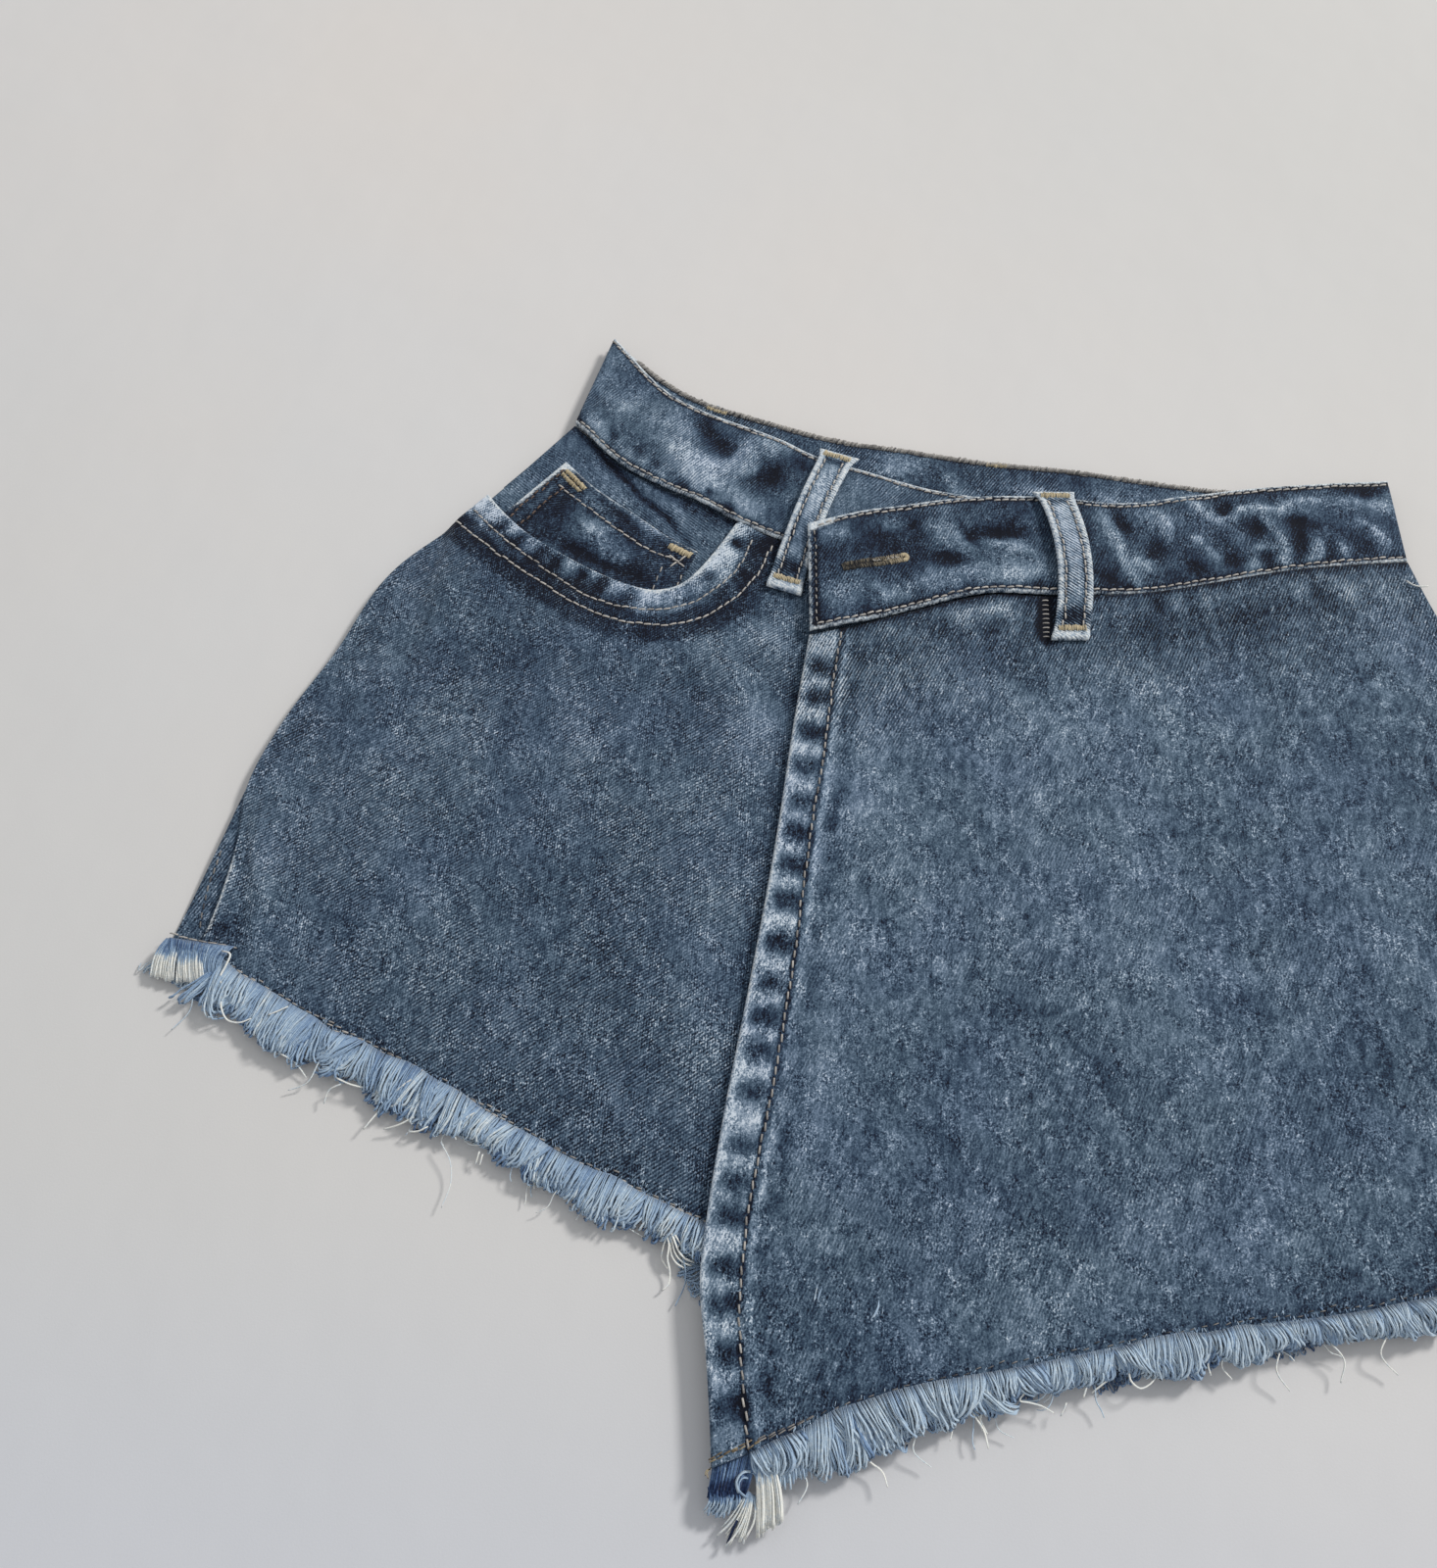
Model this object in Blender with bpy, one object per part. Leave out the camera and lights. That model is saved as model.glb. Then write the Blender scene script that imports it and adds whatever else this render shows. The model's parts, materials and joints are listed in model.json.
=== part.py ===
"""Denim wrap skort, laid flat and front up.

Frame: metres, +Z up, +Y along the garment's own axis from hem to waist, +X to the wearer's left.
The garment lies on the plane z = 0.  Its origin is the middle of the footprint.
All tables are in millimetres, in the pattern frame: x from the garment's axis, y up from the tip of
the wrap's corner, so a seam shared by two pieces is one table that both of them read.
"""
import math
from collections import namedtuple

import bmesh
import bpy

MM = 0.001

# ------------------------------------------------------------------ driving sizes (mm)
DENIM = 1.0              # one layer of denim
BAND = 2.0               # waistband: two layers and their seam allowances
LOOP_W = 12.8            # belt loop width (half inch folder)
LOOP_T = 1.2             # belt loop, folded strip
POCKET_T = 1.2           # back patch pocket with its turned edges
FACING_T = 0.9
COIN_T = 0.9
PLACKET_W = 13.5         # turned edge of the wrap
PLACKET_T = 2.1          # its thickness, two layers
FRINGE_LEN = 12.0        # reach of the frayed hem
FRINGE_T = 1.1
SEAM = 0.3               # clear gap between neighbouring pieces
BUTTONHOLE_LEN = 22.0
BUTTONHOLE_W = 1.2
HOLE_X = -48.5           # its outer end at the top edge of the band

# heights of the undersides of the layers (mm)
Z_BACK = 1.6             # back panels, over pockets and loops
Z_BACK_HEM = 0.0         # back panels come down to the surface at the hem
Z_FRONT_SIDE = 2.9       # front legs where they meet the side seam
Z_FRONT_MID = 4.2        # front legs over the middle
Z_FRONT_HEM = 2.5
Z_SCOOP = 5.3            # front leg lifted by the facing and coin pocket
Z_FACING = 2.9
Z_COIN = 4.1
Z_BAND_RIGHT = 4.0
LAYER_AIR = 0.8          # air between the shorts and the wrap


# ------------------------------------------------------------------ tables
Pt = namedtuple("Pt", "x y")
Gore = namedtuple("Gore", "top_x top_y hem_x hem_y")      # one line of a panel, from its top to its hem
Loop = namedtuple("Loop", "name x_top y_top x_end y_end z_root z_mid z_end")

# side lines, from the waist seam down to the hem
SIDE_RIGHT = [Pt(-156, 379), Pt(-182, 340), Pt(-191, 327), Pt(-208, 306), Pt(-223, 263), Pt(-233, 236),
              Pt(-239, 209), Pt(-242, 188), Pt(-248, 154)]
SIDE_FRONT_RIGHT = SIDE_RIGHT[:6] + [Pt(-238.5, 209), Pt(-236, 187), Pt(-237, 158), Pt(-238.5, 148)]  # the seam rolls to the front
SIDE_LEFT = [Pt(156, 352), Pt(165, 327), Pt(180, 295), Pt(197, 262), Pt(214, 228), Pt(230, 195),
             Pt(243, 163), Pt(252, 128)]

# seams at the lower edge of the three waistbands
BACK_SEAM = [Pt(-156, 379), Pt(-128, 361), Pt(-92, 348), Pt(-60, 342), Pt(-30, 339), Pt(0, 338),
             Pt(30, 338), Pt(60, 339), Pt(95, 343), Pt(126, 348.5), Pt(156, 352)]
BACK_TOP = [Pt(-148, 424), Pt(-117, 401), Pt(-85, 391), Pt(-57, 385), Pt(-29, 383), Pt(0, 381),
            Pt(31, 381), Pt(61, 379.5), Pt(95, 378.5), Pt(124, 384), Pt(152, 389)]
RIGHT_SEAM = [Pt(-156, 379), Pt(-132, 359), Pt(-117, 352), Pt(-103, 347), Pt(-88, 339.5), Pt(-74, 334), Pt(-44, 327),
              Pt(-16, 322), Pt(0, 321), Pt(26, 322)]
RIGHT_TOP = [Pt(-148, 424), Pt(-119, 396), Pt(-103, 389), Pt(-86, 383.5), Pt(-76, 380), Pt(-64, 374.5), Pt(-43, 369),
             Pt(-16, 363), Pt(0, 362), Pt(26, 364)]
LEFT_SEAM = [Pt(-57, 291.8), Pt(-42.6, 297.1), Pt(-23, 305.8), Pt(5, 317.2), Pt(29, 319.6), Pt(63, 325.7), Pt(86, 333),
             Pt(109, 340.7), Pt(132, 346.7), Pt(156, 352)]
LEFT_TOP = [Pt(-62.3, 338.4), Pt(HOLE_X, 344.5), Pt(HOLE_X + BUTTONHOLE_LEN, 353), Pt(2, 360.6), Pt(22, 363), Pt(50, 364.6),
            Pt(78, 372.5), Pt(97, 377.8), Pt(125, 384), Pt(152, 389)]

# the yoke seam runs from side to side and dips at the centre back
YOKE_SEAM = [Pt(-178.0, 346.5), Pt(-144, 334), Pt(-104, 320), Pt(-68, 307.5), Pt(-34, 295), Pt(0, 284),
             Pt(34, 290), Pt(68, 297), Pt(105, 304.5), Pt(138, 311), Pt(169.5, 318.0)]

# hems: the same x as the gores that end there
FRONT_RIGHT = [  # scoop first, then the waist seam; the last line is the centre front
    Gore(-182.0, 340.0, -238.5, 149.5), Gore(-175.0, 333.0, -230.0, 146.0), Gore(-166.0, 325.5, -219.0, 141.5),
    Gore(-151.0, 317.0, -200.0, 133.0), Gore(-136.0, 310.0, -177.0, 125.5), Gore(-124.0, 306.0, -155.0, 117.5),
    Gore(-113.0, 305.0, -134.0, 109.0), Gore(-103.0, 310.5, -114.0, 100.5), Gore(-95.0, 324.0, -98.0, 95.0),
    Gore(-88.0, 339.5, -86.0, 91.5), Gore(-74.0, 334.0, -72.0, 87.0), Gore(-44.0, 327.0, -44.0, 79.0),
    Gore(-16.0, 322.0, -22.0, 74.5), Gore(-0.2, 321.0, -9.0, 72.5)]
FRONT_LEFT = [   # hidden under the wrap
    Gore(5.0, 317.2, 9.0, 72.5), Gore(29.0, 319.6, 36.0, 78.0), Gore(63.0, 325.7, 76.0, 88.0),
    Gore(86.0, 333.0, 112.0, 99.0), Gore(109.0, 340.7, 152.0, 112.0), Gore(132.0, 346.7, 200.0, 128.0),
    Gore(156.0, 352.0, 249.0, 139.0)]
BACK_RIGHT = [
    Gore(-178.0, 346.5, -249.0, 151.0), Gore(-144.0, 334.0, -196.0, 126.0), Gore(-104.0, 320.0, -140.0, 101.0),
    Gore(-68.0, 307.5, -92.0, 82.0), Gore(-34.0, 295.0, -47.0, 69.0), Gore(-0.2, 284.0, -9.0, 62.0)]
BACK_LEFT = [
    Gore(0.2, 284.0, 9.0, 62.0), Gore(34.0, 290.0, 44.0, 68.0), Gore(68.0, 297.0, 88.0, 80.5),
    Gore(105.0, 304.5, 138.0, 97.5), Gore(138.0, 311.0, 193.0, 117.0), Gore(169.5, 318.0, 250.0, 136.5)]
WRAP = [
    Gore(-57.0, 291.8, -57.0, 22.5), Gore(-42.6, 297.1, -43.5, 29.5), Gore(-41.4, 297.6, -42.2, 30.2), Gore(-23.0, 305.8, -20.0, 42.5),
    Gore(5.0, 317.2, 16.0, 55.5), Gore(29.0, 319.6, 52.0, 67.3), Gore(63.0, 325.7, 92.0, 78.2),
    Gore(86.0, 333.0, 124.0, 86.5), Gore(109.0, 340.7, 163.0, 99.0), Gore(132.0, 346.7, 207.0, 112.5),
    Gore(156.0, 352.0, 252.0, 127.5)]
FACING = [
    Gore(-156.0, 379.0, -187.0, 330.0), Gore(-132.0, 359.0, -160.0, 306.0), Gore(-117.0, 352.0, -134.0, 293.5),
    Gore(-103.0, 347.0, -112.0, 290.0), Gore(-88.0, 339.5, -90.0, 300.0), Gore(-74.0, 334.0, -76.0, 318.0)]
COIN = [
    Gore(-156.0, 360.0, -177.0, 329.5), Gore(-143.0, 349.0, -161.0, 314.5), Gore(-127.0, 339.0, -141.0, 302.0),
    Gore(-111.0, 329.0, -124.0, 297.0), Gore(-101.0, 324.5, -110.0, 295.0)]

# outward bow of the wrap's edge and of the side seams, by the share of the way down
Bow = namedtuple("Bow", "down out")
WRAP_EDGE_BOW = [Bow(0, 0), Bow(.12, 1.6), Bow(.3, 3.0), Bow(.5, 6.0), Bow(.65, 8.7), Bow(.76, 9.8), Bow(.82, 9.5), Bow(.9, 4.9),
                 Bow(.95, 2.3), Bow(1, 0)]

# back patch pocket, one corner a row; the top edge is the first two
POCKET_RIGHT = [Pt(-158, 318), Pt(-17, 269), Pt(-63, 168), Pt(-125, 164), Pt(-168, 204)]
POCKET_LEFT = [Pt(158, 306), Pt(17, 267), Pt(63, 167), Pt(125, 162), Pt(168, 200)]

LOOPS = [
    Loop("belt_loop_front_right", -53.5, 374.5, -68.0, 309.5, 6.35, 6.9, 5.75),
    Loop("belt_loop_front_left", 26.4, 364.0, 34.0, 300.0, 9.0, 9.6, 7.5),
    Loop("belt_loop_back_right", -110.0, 399.0, -118.0, 336.0, 0.0, 0.0, 0.0),
    Loop("belt_loop_back_centre", 0.0, 382.0, 0.0, 318.0, 0.0, 0.0, 0.0),
    Loop("belt_loop_back_left", 110.0, 381.0, 114.0, 318.0, 0.0, 0.0, 0.0)]

COLOURS = {
    "denim_panel": (0.085, 0.150, 0.240), "denim_wrap": (0.100, 0.170, 0.265), "denim_band": (0.090, 0.155, 0.240),
    "denim_dark": (0.050, 0.085, 0.150), "denim_loop": (0.160, 0.230, 0.320), "denim_pocket": (0.070, 0.120, 0.195),
    "denim_inside": (0.200, 0.260, 0.340), "fringe_blue": (0.330, 0.470, 0.630)}


# ------------------------------------------------------------------ helpers
def clear_scene():
    for ob in list(bpy.data.objects):
        bpy.data.objects.remove(ob, do_unlink=True)


def smooth(t):
    t = max(0.0, min(1.0, t))
    return t * t * (3.0 - 2.0 * t)


def lerp(a, b, t):
    return a + (b - a) * t


def x_on(line, y):
    """x of a side line at the height y."""
    for a, b in zip(line, line[1:]):
        if (a.y - y) * (b.y - y) <= 0 and a.y != b.y:
            return lerp(a.x, b.x, (y - a.y) / (b.y - a.y))
    return line[0].x if y > line[0].y else line[-1].x


def y_on_hem(gores, x):
    """y of a hem at x."""
    g = sorted(gores, key=lambda r: r.hem_x)
    for a, b in zip(g, g[1:]):
        if a.hem_x <= x <= b.hem_x:
            return lerp(a.hem_y, b.hem_y, (x - a.hem_x) / (b.hem_x - a.hem_x))
    return g[0].hem_y if x < g[0].hem_x else g[-1].hem_y


def bow_at(rows, down):
    for a, b in zip(rows, rows[1:]):
        if a.down <= down <= b.down:
            return lerp(a.out, b.out, (down - a.down) / (b.down - a.down))
    return 0.0


def material(slot):
    mat = bpy.data.materials.get(slot)
    if mat is None:
        mat = bpy.data.materials.new(slot)
        mat.use_nodes = True
        shader = mat.node_tree.nodes["Principled BSDF"]
        shader.inputs["Base Color"].default_value = (*COLOURS[slot], 1.0)
        shader.inputs["Roughness"].default_value = 0.9
        shader.inputs["Metallic"].default_value = 0.0
    return mat


def cloth(name, slot, plan, under, thick, open_cells=()):
    """A closed wall of cloth over a grid.  plan[row][col] is (x, y); under and thick give the height of
    its lower face and its thickness at each grid point; open_cells are cut right through."""
    rows, cols = len(plan), len(plan[0])
    bm = bmesh.new()
    low = [[None] * cols for _ in range(rows)]
    top = [[None] * cols for _ in range(rows)]
    cells = {(r, c) for r in range(rows - 1) for c in range(cols - 1)} - set(open_cells)
    for r in range(rows):
        for c in range(cols):
            x, y = plan[r][c]
            z = under(r, c, x, y)
            t = thick(r, c) if callable(thick) else thick
            low[r][c] = bm.verts.new((x * MM, y * MM, z * MM))
            top[r][c] = bm.verts.new((x * MM, y * MM, (z + t) * MM))
    for r, c in cells:
        ring = [(r, c), (r + 1, c), (r + 1, c + 1), (r, c + 1)]
        bm.faces.new([top[a][b] for a, b in ring])
        bm.faces.new([low[a][b] for a, b in reversed(ring)])
        for (a, b), (d, e), beside in ((ring[0], ring[1], (r, c - 1)), (ring[1], ring[2], (r + 1, c)),
                                       (ring[2], ring[3], (r, c + 1)), (ring[3], ring[0], (r - 1, c))):
            if beside not in cells:
                bm.faces.new([top[d][e], top[a][b], low[a][b], low[d][e]])
    bmesh.ops.recalc_face_normals(bm, faces=bm.faces)
    mesh = bpy.data.meshes.new(name)
    bm.to_mesh(mesh)
    bm.free()
    ob = bpy.data.objects.new(name, mesh)
    bpy.context.collection.objects.link(ob)
    ob.data.materials.append(material(slot))
    return ob


def panel_plan(gores, rows, side=None, side_col=None, edge_bow=None, top_gap=SEAM, widest=60.0, hem_gap=0.0):
    """Grid of a panel: a column a gore line, rows shared out down its length.  Gores wider than widest
    at the hem are split.  side is a side line that the outermost column follows, and its pull dies out
    across the next columns."""
    cols = []
    for a, b in zip(gores, gores[1:]):
        split = math.ceil(abs(b.hem_x - a.hem_x) / widest)
        for k in range(split):
            t = k / split
            cols.append(Gore(*(lerp(p, q, t) for p, q in zip(a, b))))
    cols.append(gores[-1])
    n = len(cols)
    plan = []
    for r in range(rows + 1):
        v = r / rows
        line = []
        for c, g in enumerate(cols):
            length = math.hypot(g.hem_x - g.top_x, g.hem_y - g.top_y)
            v2 = lerp(top_gap / length, 1.0 - hem_gap / length, v)
            x, y = lerp(g.top_x, g.hem_x, v2), lerp(g.top_y, g.hem_y, v2)
            if side is not None:
                pull = smooth(1.0 - abs(c - side_col % n) / 3.0)
                edge = cols[side_col]
                ex, ey = lerp(edge.top_x, edge.hem_x, v2), lerp(edge.top_y, edge.hem_y, v2)
                x += (x_on(side, ey) - ex) * pull
            if edge_bow is not None:
                x -= bow_at(edge_bow, v2) * smooth(1.0 - max(0.0, x - cols[0].top_x - PLACKET_W) / 90.0)
            line.append((x, y))
        plan.append(line)
    return plan


def strip_plan(top, low, rows, low_gap=0.0, fractions=None):
    """Grid of a band between two edge tables with the same number of rows."""
    shares = fractions or [r / rows for r in range(rows + 1)]
    plan = []
    for v in shares:
        line = []
        for a, b in zip(top, low):
            line.append((lerp(a.x, b.x, v), lerp(a.y, b.y, v)))
        plan.append(line)
    return plan


# ------------------------------------------------------------------ heights of the layers
def z_back(x, y):
    """Underside of the back: over the pockets, and down on the surface along the hem."""
    hem = y_on_hem(BACK_RIGHT if x < 0 else BACK_LEFT, x)
    return lerp(Z_BACK_HEM, Z_BACK, smooth((y - hem - 4.0) / 38.0))


def side_distance(x, y):
    return abs(x_on(SIDE_RIGHT if x < 0 else SIDE_LEFT, y) - x)


def z_front(x, y, hem):
    """Underside of the front legs: down at the sides and the hem, up over the pocket."""
    mid = lerp(Z_FRONT_SIDE, Z_FRONT_MID, smooth(side_distance(x, y) / 38.0))
    z = lerp(Z_FRONT_HEM, mid, smooth((y - hem) / 48.0))
    scoop = smooth((x + 196.0) / 6.0) * smooth((-77.0 - x) / 12.0) * smooth((y - 258.0) / 24.0)
    return lerp(z, Z_SCOOP, scoop)


def z_wrap(x, y):
    """Underside of the wrap: clear of the legs below, lifted along its free edge."""
    hem = y_on_hem(FRONT_RIGHT if x < 0 else FRONT_LEFT, x)
    body = lerp(Z_FRONT_SIDE, Z_FRONT_MID, smooth(side_distance(x, y) / 42.0)) + DENIM + LAYER_AIR
    z = lerp(Z_FRONT_HEM + DENIM + LAYER_AIR + 0.3, body, smooth((y - hem) / 45.0))
    free = smooth((-10.0 - x) / 45.0)
    return z + 0.9 * free


def z_band_right(x):
    return Z_BAND_RIGHT


def z_band_left(x):
    """Underside of the wrap's waistband: over the belt loop, over the right waistband, then down to the back one."""
    over_band = lerp(8.25, 6.5, smooth((x + 45.0) / 18.0))
    return lerp(over_band, Z_BAND_RIGHT, smooth((x - 32.0) / 34.0))


def z_band_back(x):
    return Z_BACK


# ------------------------------------------------------------------ pieces
def fringe(name, gores, plan, under):
    """Plain strip of the frayed hem's reach, along the last row of a panel's plan."""
    hem = plan[-1]
    before = plan[-2]
    rows = []
    for share in (SEAM, FRINGE_LEN * 0.55, FRINGE_LEN):
        line = []
        for (x, y), (px, py) in zip(hem, before):
            d = math.hypot(x - px, y - py)
            line.append((x + (x - px) / d * share, y + (y - py) / d * share))
        rows.append(line)
    cols = len(hem)
    base = [under(x, y) for x, y in hem]
    drop = (0.0, 0.45, 0.9)

    def height(r, c, x, y):
        return max(0.0, base[c] - drop[r])

    def thick(r, c):
        return (FRINGE_T, FRINGE_T, 0.8)[r]
    return cloth(name, "fringe_blue", rows, height, thick)


def pocket(name, corners, mid_rows=3):
    """Five-sided patch under the back leg: its two outlines from the top edge down to the point."""
    top_out, top_in, low_in, point, low_out = corners
    outer = [top_out, low_out, point]
    inner = [top_in, low_in]
    plan = []
    for v in (0.0, 0.34, 0.68, 1.0):
        a = Pt(lerp(top_out.x, low_out.x, v), lerp(top_out.y, low_out.y, v))
        b = Pt(lerp(top_in.x, low_in.x, v), lerp(top_in.y, low_in.y, v))
        plan.append([(lerp(a.x, b.x, u), lerp(a.y, b.y, u)) for u in (0.0, 0.2, 0.41, 0.6, 0.8, 1.0)])
    a, b = point, low_in
    tip = [(lerp(low_out.x, point.x, 0.97), lerp(low_out.y, point.y, 0.97))]
    tip += [(lerp(point.x, low_in.x, u), lerp(point.y, low_in.y, u)) for u in (0.0, 0.25, 0.5, 0.75)]
    tip.append((low_in.x + (0.6 if low_in.x < 0 else -0.6), low_in.y - 0.8))
    plan.append(tip)
    return cloth(name, "denim_pocket", plan, lambda r, c, x, y: 0.0, POCKET_T)


def belt_loop(row, under):
    """Folded strip with a bar tack at each end, slightly lifted between them."""
    steps = 8
    dx, dy = row.x_end - row.x_top, row.y_end - row.y_top
    length = math.hypot(dx, dy)
    nx, ny = -dy / length, dx / length
    plan = []
    for k in range(steps + 1):
        v = k / steps
        cx, cy = row.x_top + dx * v, row.y_top + dy * v
        plan.append([(cx + nx * LOOP_W * s, cy + ny * LOOP_W * s) for s in (-0.5, 0.0, 0.5)])
    return cloth(row.name, "denim_loop", plan, lambda r, c, x, y: under(r / steps), LOOP_T)


def build():
    clear_scene()

    # back, from the surface up
    pocket("pocket_back_right", POCKET_RIGHT)
    pocket("pocket_back_left", POCKET_LEFT)
    back_right = panel_plan(BACK_RIGHT, 9, SIDE_RIGHT, 0, widest=26.0)
    back_left = panel_plan(BACK_LEFT, 9, SIDE_LEFT, -1, widest=26.0)
    cloth("leg_back_right", "denim_panel", back_right, lambda r, c, x, y: z_back(x, y), DENIM)
    cloth("leg_back_left", "denim_panel", back_left, lambda r, c, x, y: z_back(x, y), DENIM)
    half = len(BACK_SEAM) // 2
    right_yoke = [Gore(a.x, a.y, b.x, b.y) for a, b in zip(BACK_SEAM[:half + 1], YOKE_SEAM[:half + 1])]
    left_yoke = [Gore(a.x, a.y, b.x, b.y) for a, b in zip(BACK_SEAM[half:], YOKE_SEAM[half:])]
    right_yoke[-1] = right_yoke[-1]._replace(top_x=-0.2, hem_x=-0.2)
    left_yoke[0] = left_yoke[0]._replace(top_x=0.2, hem_x=0.2)
    cloth("yoke_right", "denim_panel", panel_plan(right_yoke, 3), lambda r, c, x, y: Z_BACK, DENIM)
    cloth("yoke_left", "denim_panel", panel_plan(left_yoke, 3), lambda r, c, x, y: Z_BACK, DENIM)
    cloth("waistband_back", "denim_inside", strip_plan(BACK_TOP, BACK_SEAM, 3),
          lambda r, c, x, y: z_band_back(x), BAND)

    # front of the shorts
    front_right = panel_plan(FRONT_RIGHT, 11, SIDE_FRONT_RIGHT, 0)
    front_left = panel_plan(FRONT_LEFT, 8, SIDE_LEFT, -1, widest=26.0)

    def under_right(r, c, x, y):
        return z_front(x, y, y_on_hem(FRONT_RIGHT, x))

    def under_left(r, c, x, y):
        return z_front(x, y, y_on_hem(FRONT_LEFT, x))
    cloth("leg_front_right", "denim_panel", front_right, under_right, DENIM)
    cloth("leg_front_left", "denim_panel", front_left, under_left, DENIM)
    cloth("pocket_facing_right", "denim_dark", panel_plan(FACING, 4), lambda r, c, x, y: Z_FACING, FACING_T)
    cloth("coin_pocket", "denim_dark", panel_plan(COIN, 3), lambda r, c, x, y: Z_COIN, COIN_T)
    cloth("waistband_front_right", "denim_band", strip_plan(RIGHT_TOP, RIGHT_SEAM, 3),
          lambda r, c, x, y: z_band_right(x), BAND)

    # wrap, with its free edge turned in
    wrap = panel_plan(WRAP, 13, SIDE_LEFT, -1, edge_bow=WRAP_EDGE_BOW, widest=23.0)
    cloth("wrap_panel", "denim_wrap", wrap, lambda r, c, x, y: z_wrap(x, y),
          lambda r, c: PLACKET_T if c <= 1 else DENIM)

    # waistband of the wrap; the buttonhole is one open cell of its grid
    rows = [0.0, 0.27, 0.49 - BUTTONHOLE_W / 90.0, 0.49 + BUTTONHOLE_W / 90.0, 0.76, 1.0]
    top = [LEFT_TOP[0]] + LEFT_TOP[1:]
    band = strip_plan(top, LEFT_SEAM, 5, fractions=rows)
    cloth("waistband_front_left", "denim_band", band, lambda r, c, x, y: z_band_left(x), BAND,
          open_cells=[(2, 1)])

    # belt loops
    def front_loop(row):
        def under(v):
            if v <= 0.62:
                return lerp(row.z_root, row.z_mid, math.sin(math.pi * min(1.0, v / 0.62)) ** 0.7 if v > 0 else 0.0)
            return lerp(row.z_root, row.z_end, smooth((v - 0.67) / 0.22))
        return under
    for row in LOOPS:
        if row.z_root:
            belt_loop(row, front_loop(row))
        else:
            belt_loop(row, lambda v: 0.0)

    # frayed hems
    fringe("fringe_back_right", BACK_RIGHT, back_right, z_back)
    fringe("fringe_back_left", BACK_LEFT, back_left, z_back)
    fringe("fringe_front_right", FRONT_RIGHT, front_right, lambda x, y: Z_FRONT_HEM)
    fringe("fringe_front_left", FRONT_LEFT, front_left, lambda x, y: Z_FRONT_HEM)
    fringe("fringe_wrap", WRAP, wrap, z_wrap)

    # put the origin under the middle of the garment
    points = [ob.matrix_world @ v.co for ob in bpy.data.objects if ob.type == "MESH" for v in ob.data.vertices]
    mid_x = (min(p.x for p in points) + max(p.x for p in points)) / 2
    mid_y = (min(p.y for p in points) + max(p.y for p in points)) / 2
    for ob in bpy.data.objects:
        for v in ob.data.vertices:
            v.co.x -= mid_x
            v.co.y -= mid_y
        ob.data.update()
    print("centre of the footprint in the pattern frame, mm:", round(mid_x / MM, 3), round(mid_y / MM, 3))


build()
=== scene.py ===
import json
import math
from collections import namedtuple

import bpy
import numpy as np
from mathutils import Matrix, Vector

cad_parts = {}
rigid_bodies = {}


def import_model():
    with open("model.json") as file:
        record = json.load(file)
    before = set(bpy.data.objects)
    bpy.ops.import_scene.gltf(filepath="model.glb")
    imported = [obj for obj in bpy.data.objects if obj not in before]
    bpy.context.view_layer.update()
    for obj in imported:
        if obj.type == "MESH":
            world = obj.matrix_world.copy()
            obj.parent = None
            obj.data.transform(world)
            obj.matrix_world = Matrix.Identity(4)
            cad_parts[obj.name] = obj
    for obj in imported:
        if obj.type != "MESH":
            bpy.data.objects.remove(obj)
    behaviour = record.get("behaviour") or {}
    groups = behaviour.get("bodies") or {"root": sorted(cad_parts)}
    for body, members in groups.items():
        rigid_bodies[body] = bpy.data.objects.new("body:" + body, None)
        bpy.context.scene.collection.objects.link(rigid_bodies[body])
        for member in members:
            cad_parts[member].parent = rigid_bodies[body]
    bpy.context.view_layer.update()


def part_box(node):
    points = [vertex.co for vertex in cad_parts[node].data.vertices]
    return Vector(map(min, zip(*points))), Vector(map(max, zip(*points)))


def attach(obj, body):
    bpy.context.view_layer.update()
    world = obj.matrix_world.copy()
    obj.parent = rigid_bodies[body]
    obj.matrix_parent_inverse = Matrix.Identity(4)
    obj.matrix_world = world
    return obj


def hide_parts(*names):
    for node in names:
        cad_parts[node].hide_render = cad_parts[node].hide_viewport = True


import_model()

MM = 0.001
rng = np.random.default_rng(20417)

# ------------------------------------------------------------------ the pattern frame (mm)
# x from the garment's axis, y up from the tip of the wrap's corner, z up from the surface.
_low, _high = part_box("waistband_front_right")
MX = -156.0 - _low[0] * 1000.0
MY = 424.0 - _high[1] * 1000.0

DENIM, BAND, PLACKET_T = 1.0, 2.0, 2.1
LOOP_W, LOOP_T, PLACKET_W = 12.8, 1.5, 13.5

SIDE_RIGHT = [(-156, 379), (-182, 340), (-191, 327), (-208, 306), (-223, 263), (-233, 236),
              (-239, 209), (-242, 188), (-248, 154)]
SIDE_FRONT_RIGHT = SIDE_RIGHT[:6] + [(-238.5, 209), (-236, 187), (-237, 158), (-238.5, 148)]
SIDE_LEFT = [(156, 352), (165, 327), (180, 295), (197, 262), (214, 228), (230, 195), (243, 163), (252, 128)]

BACK_SEAM = [(-156, 379), (-128, 361), (-92, 348), (-60, 342), (-30, 339), (0, 338), (30, 338), (60, 339),
             (95, 343), (126, 348.5), (156, 352)]
BACK_TOP = [(-148, 424), (-117, 401), (-85, 391), (-57, 385), (-29, 383), (0, 381), (31, 381), (61, 379.5),
            (95, 378.5), (124, 384), (152, 389)]
RIGHT_SEAM = [(-156, 379), (-132, 359), (-117, 352), (-103, 347), (-88, 339.5), (-74, 334), (-44, 327),
              (-16, 322), (0, 321), (26, 322)]
RIGHT_TOP = [(-148, 424), (-119, 396), (-103, 389), (-86, 383.5), (-76, 380), (-64, 374.5), (-43, 369),
             (-16, 363), (0, 362), (26, 364)]
LEFT_SEAM = [(-57, 291.8), (-42.6, 297.1), (-23, 305.8), (5, 317.2), (29, 319.6), (63, 325.7), (86, 333),
             (109, 340.7), (132, 346.7), (156, 352)]
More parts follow.
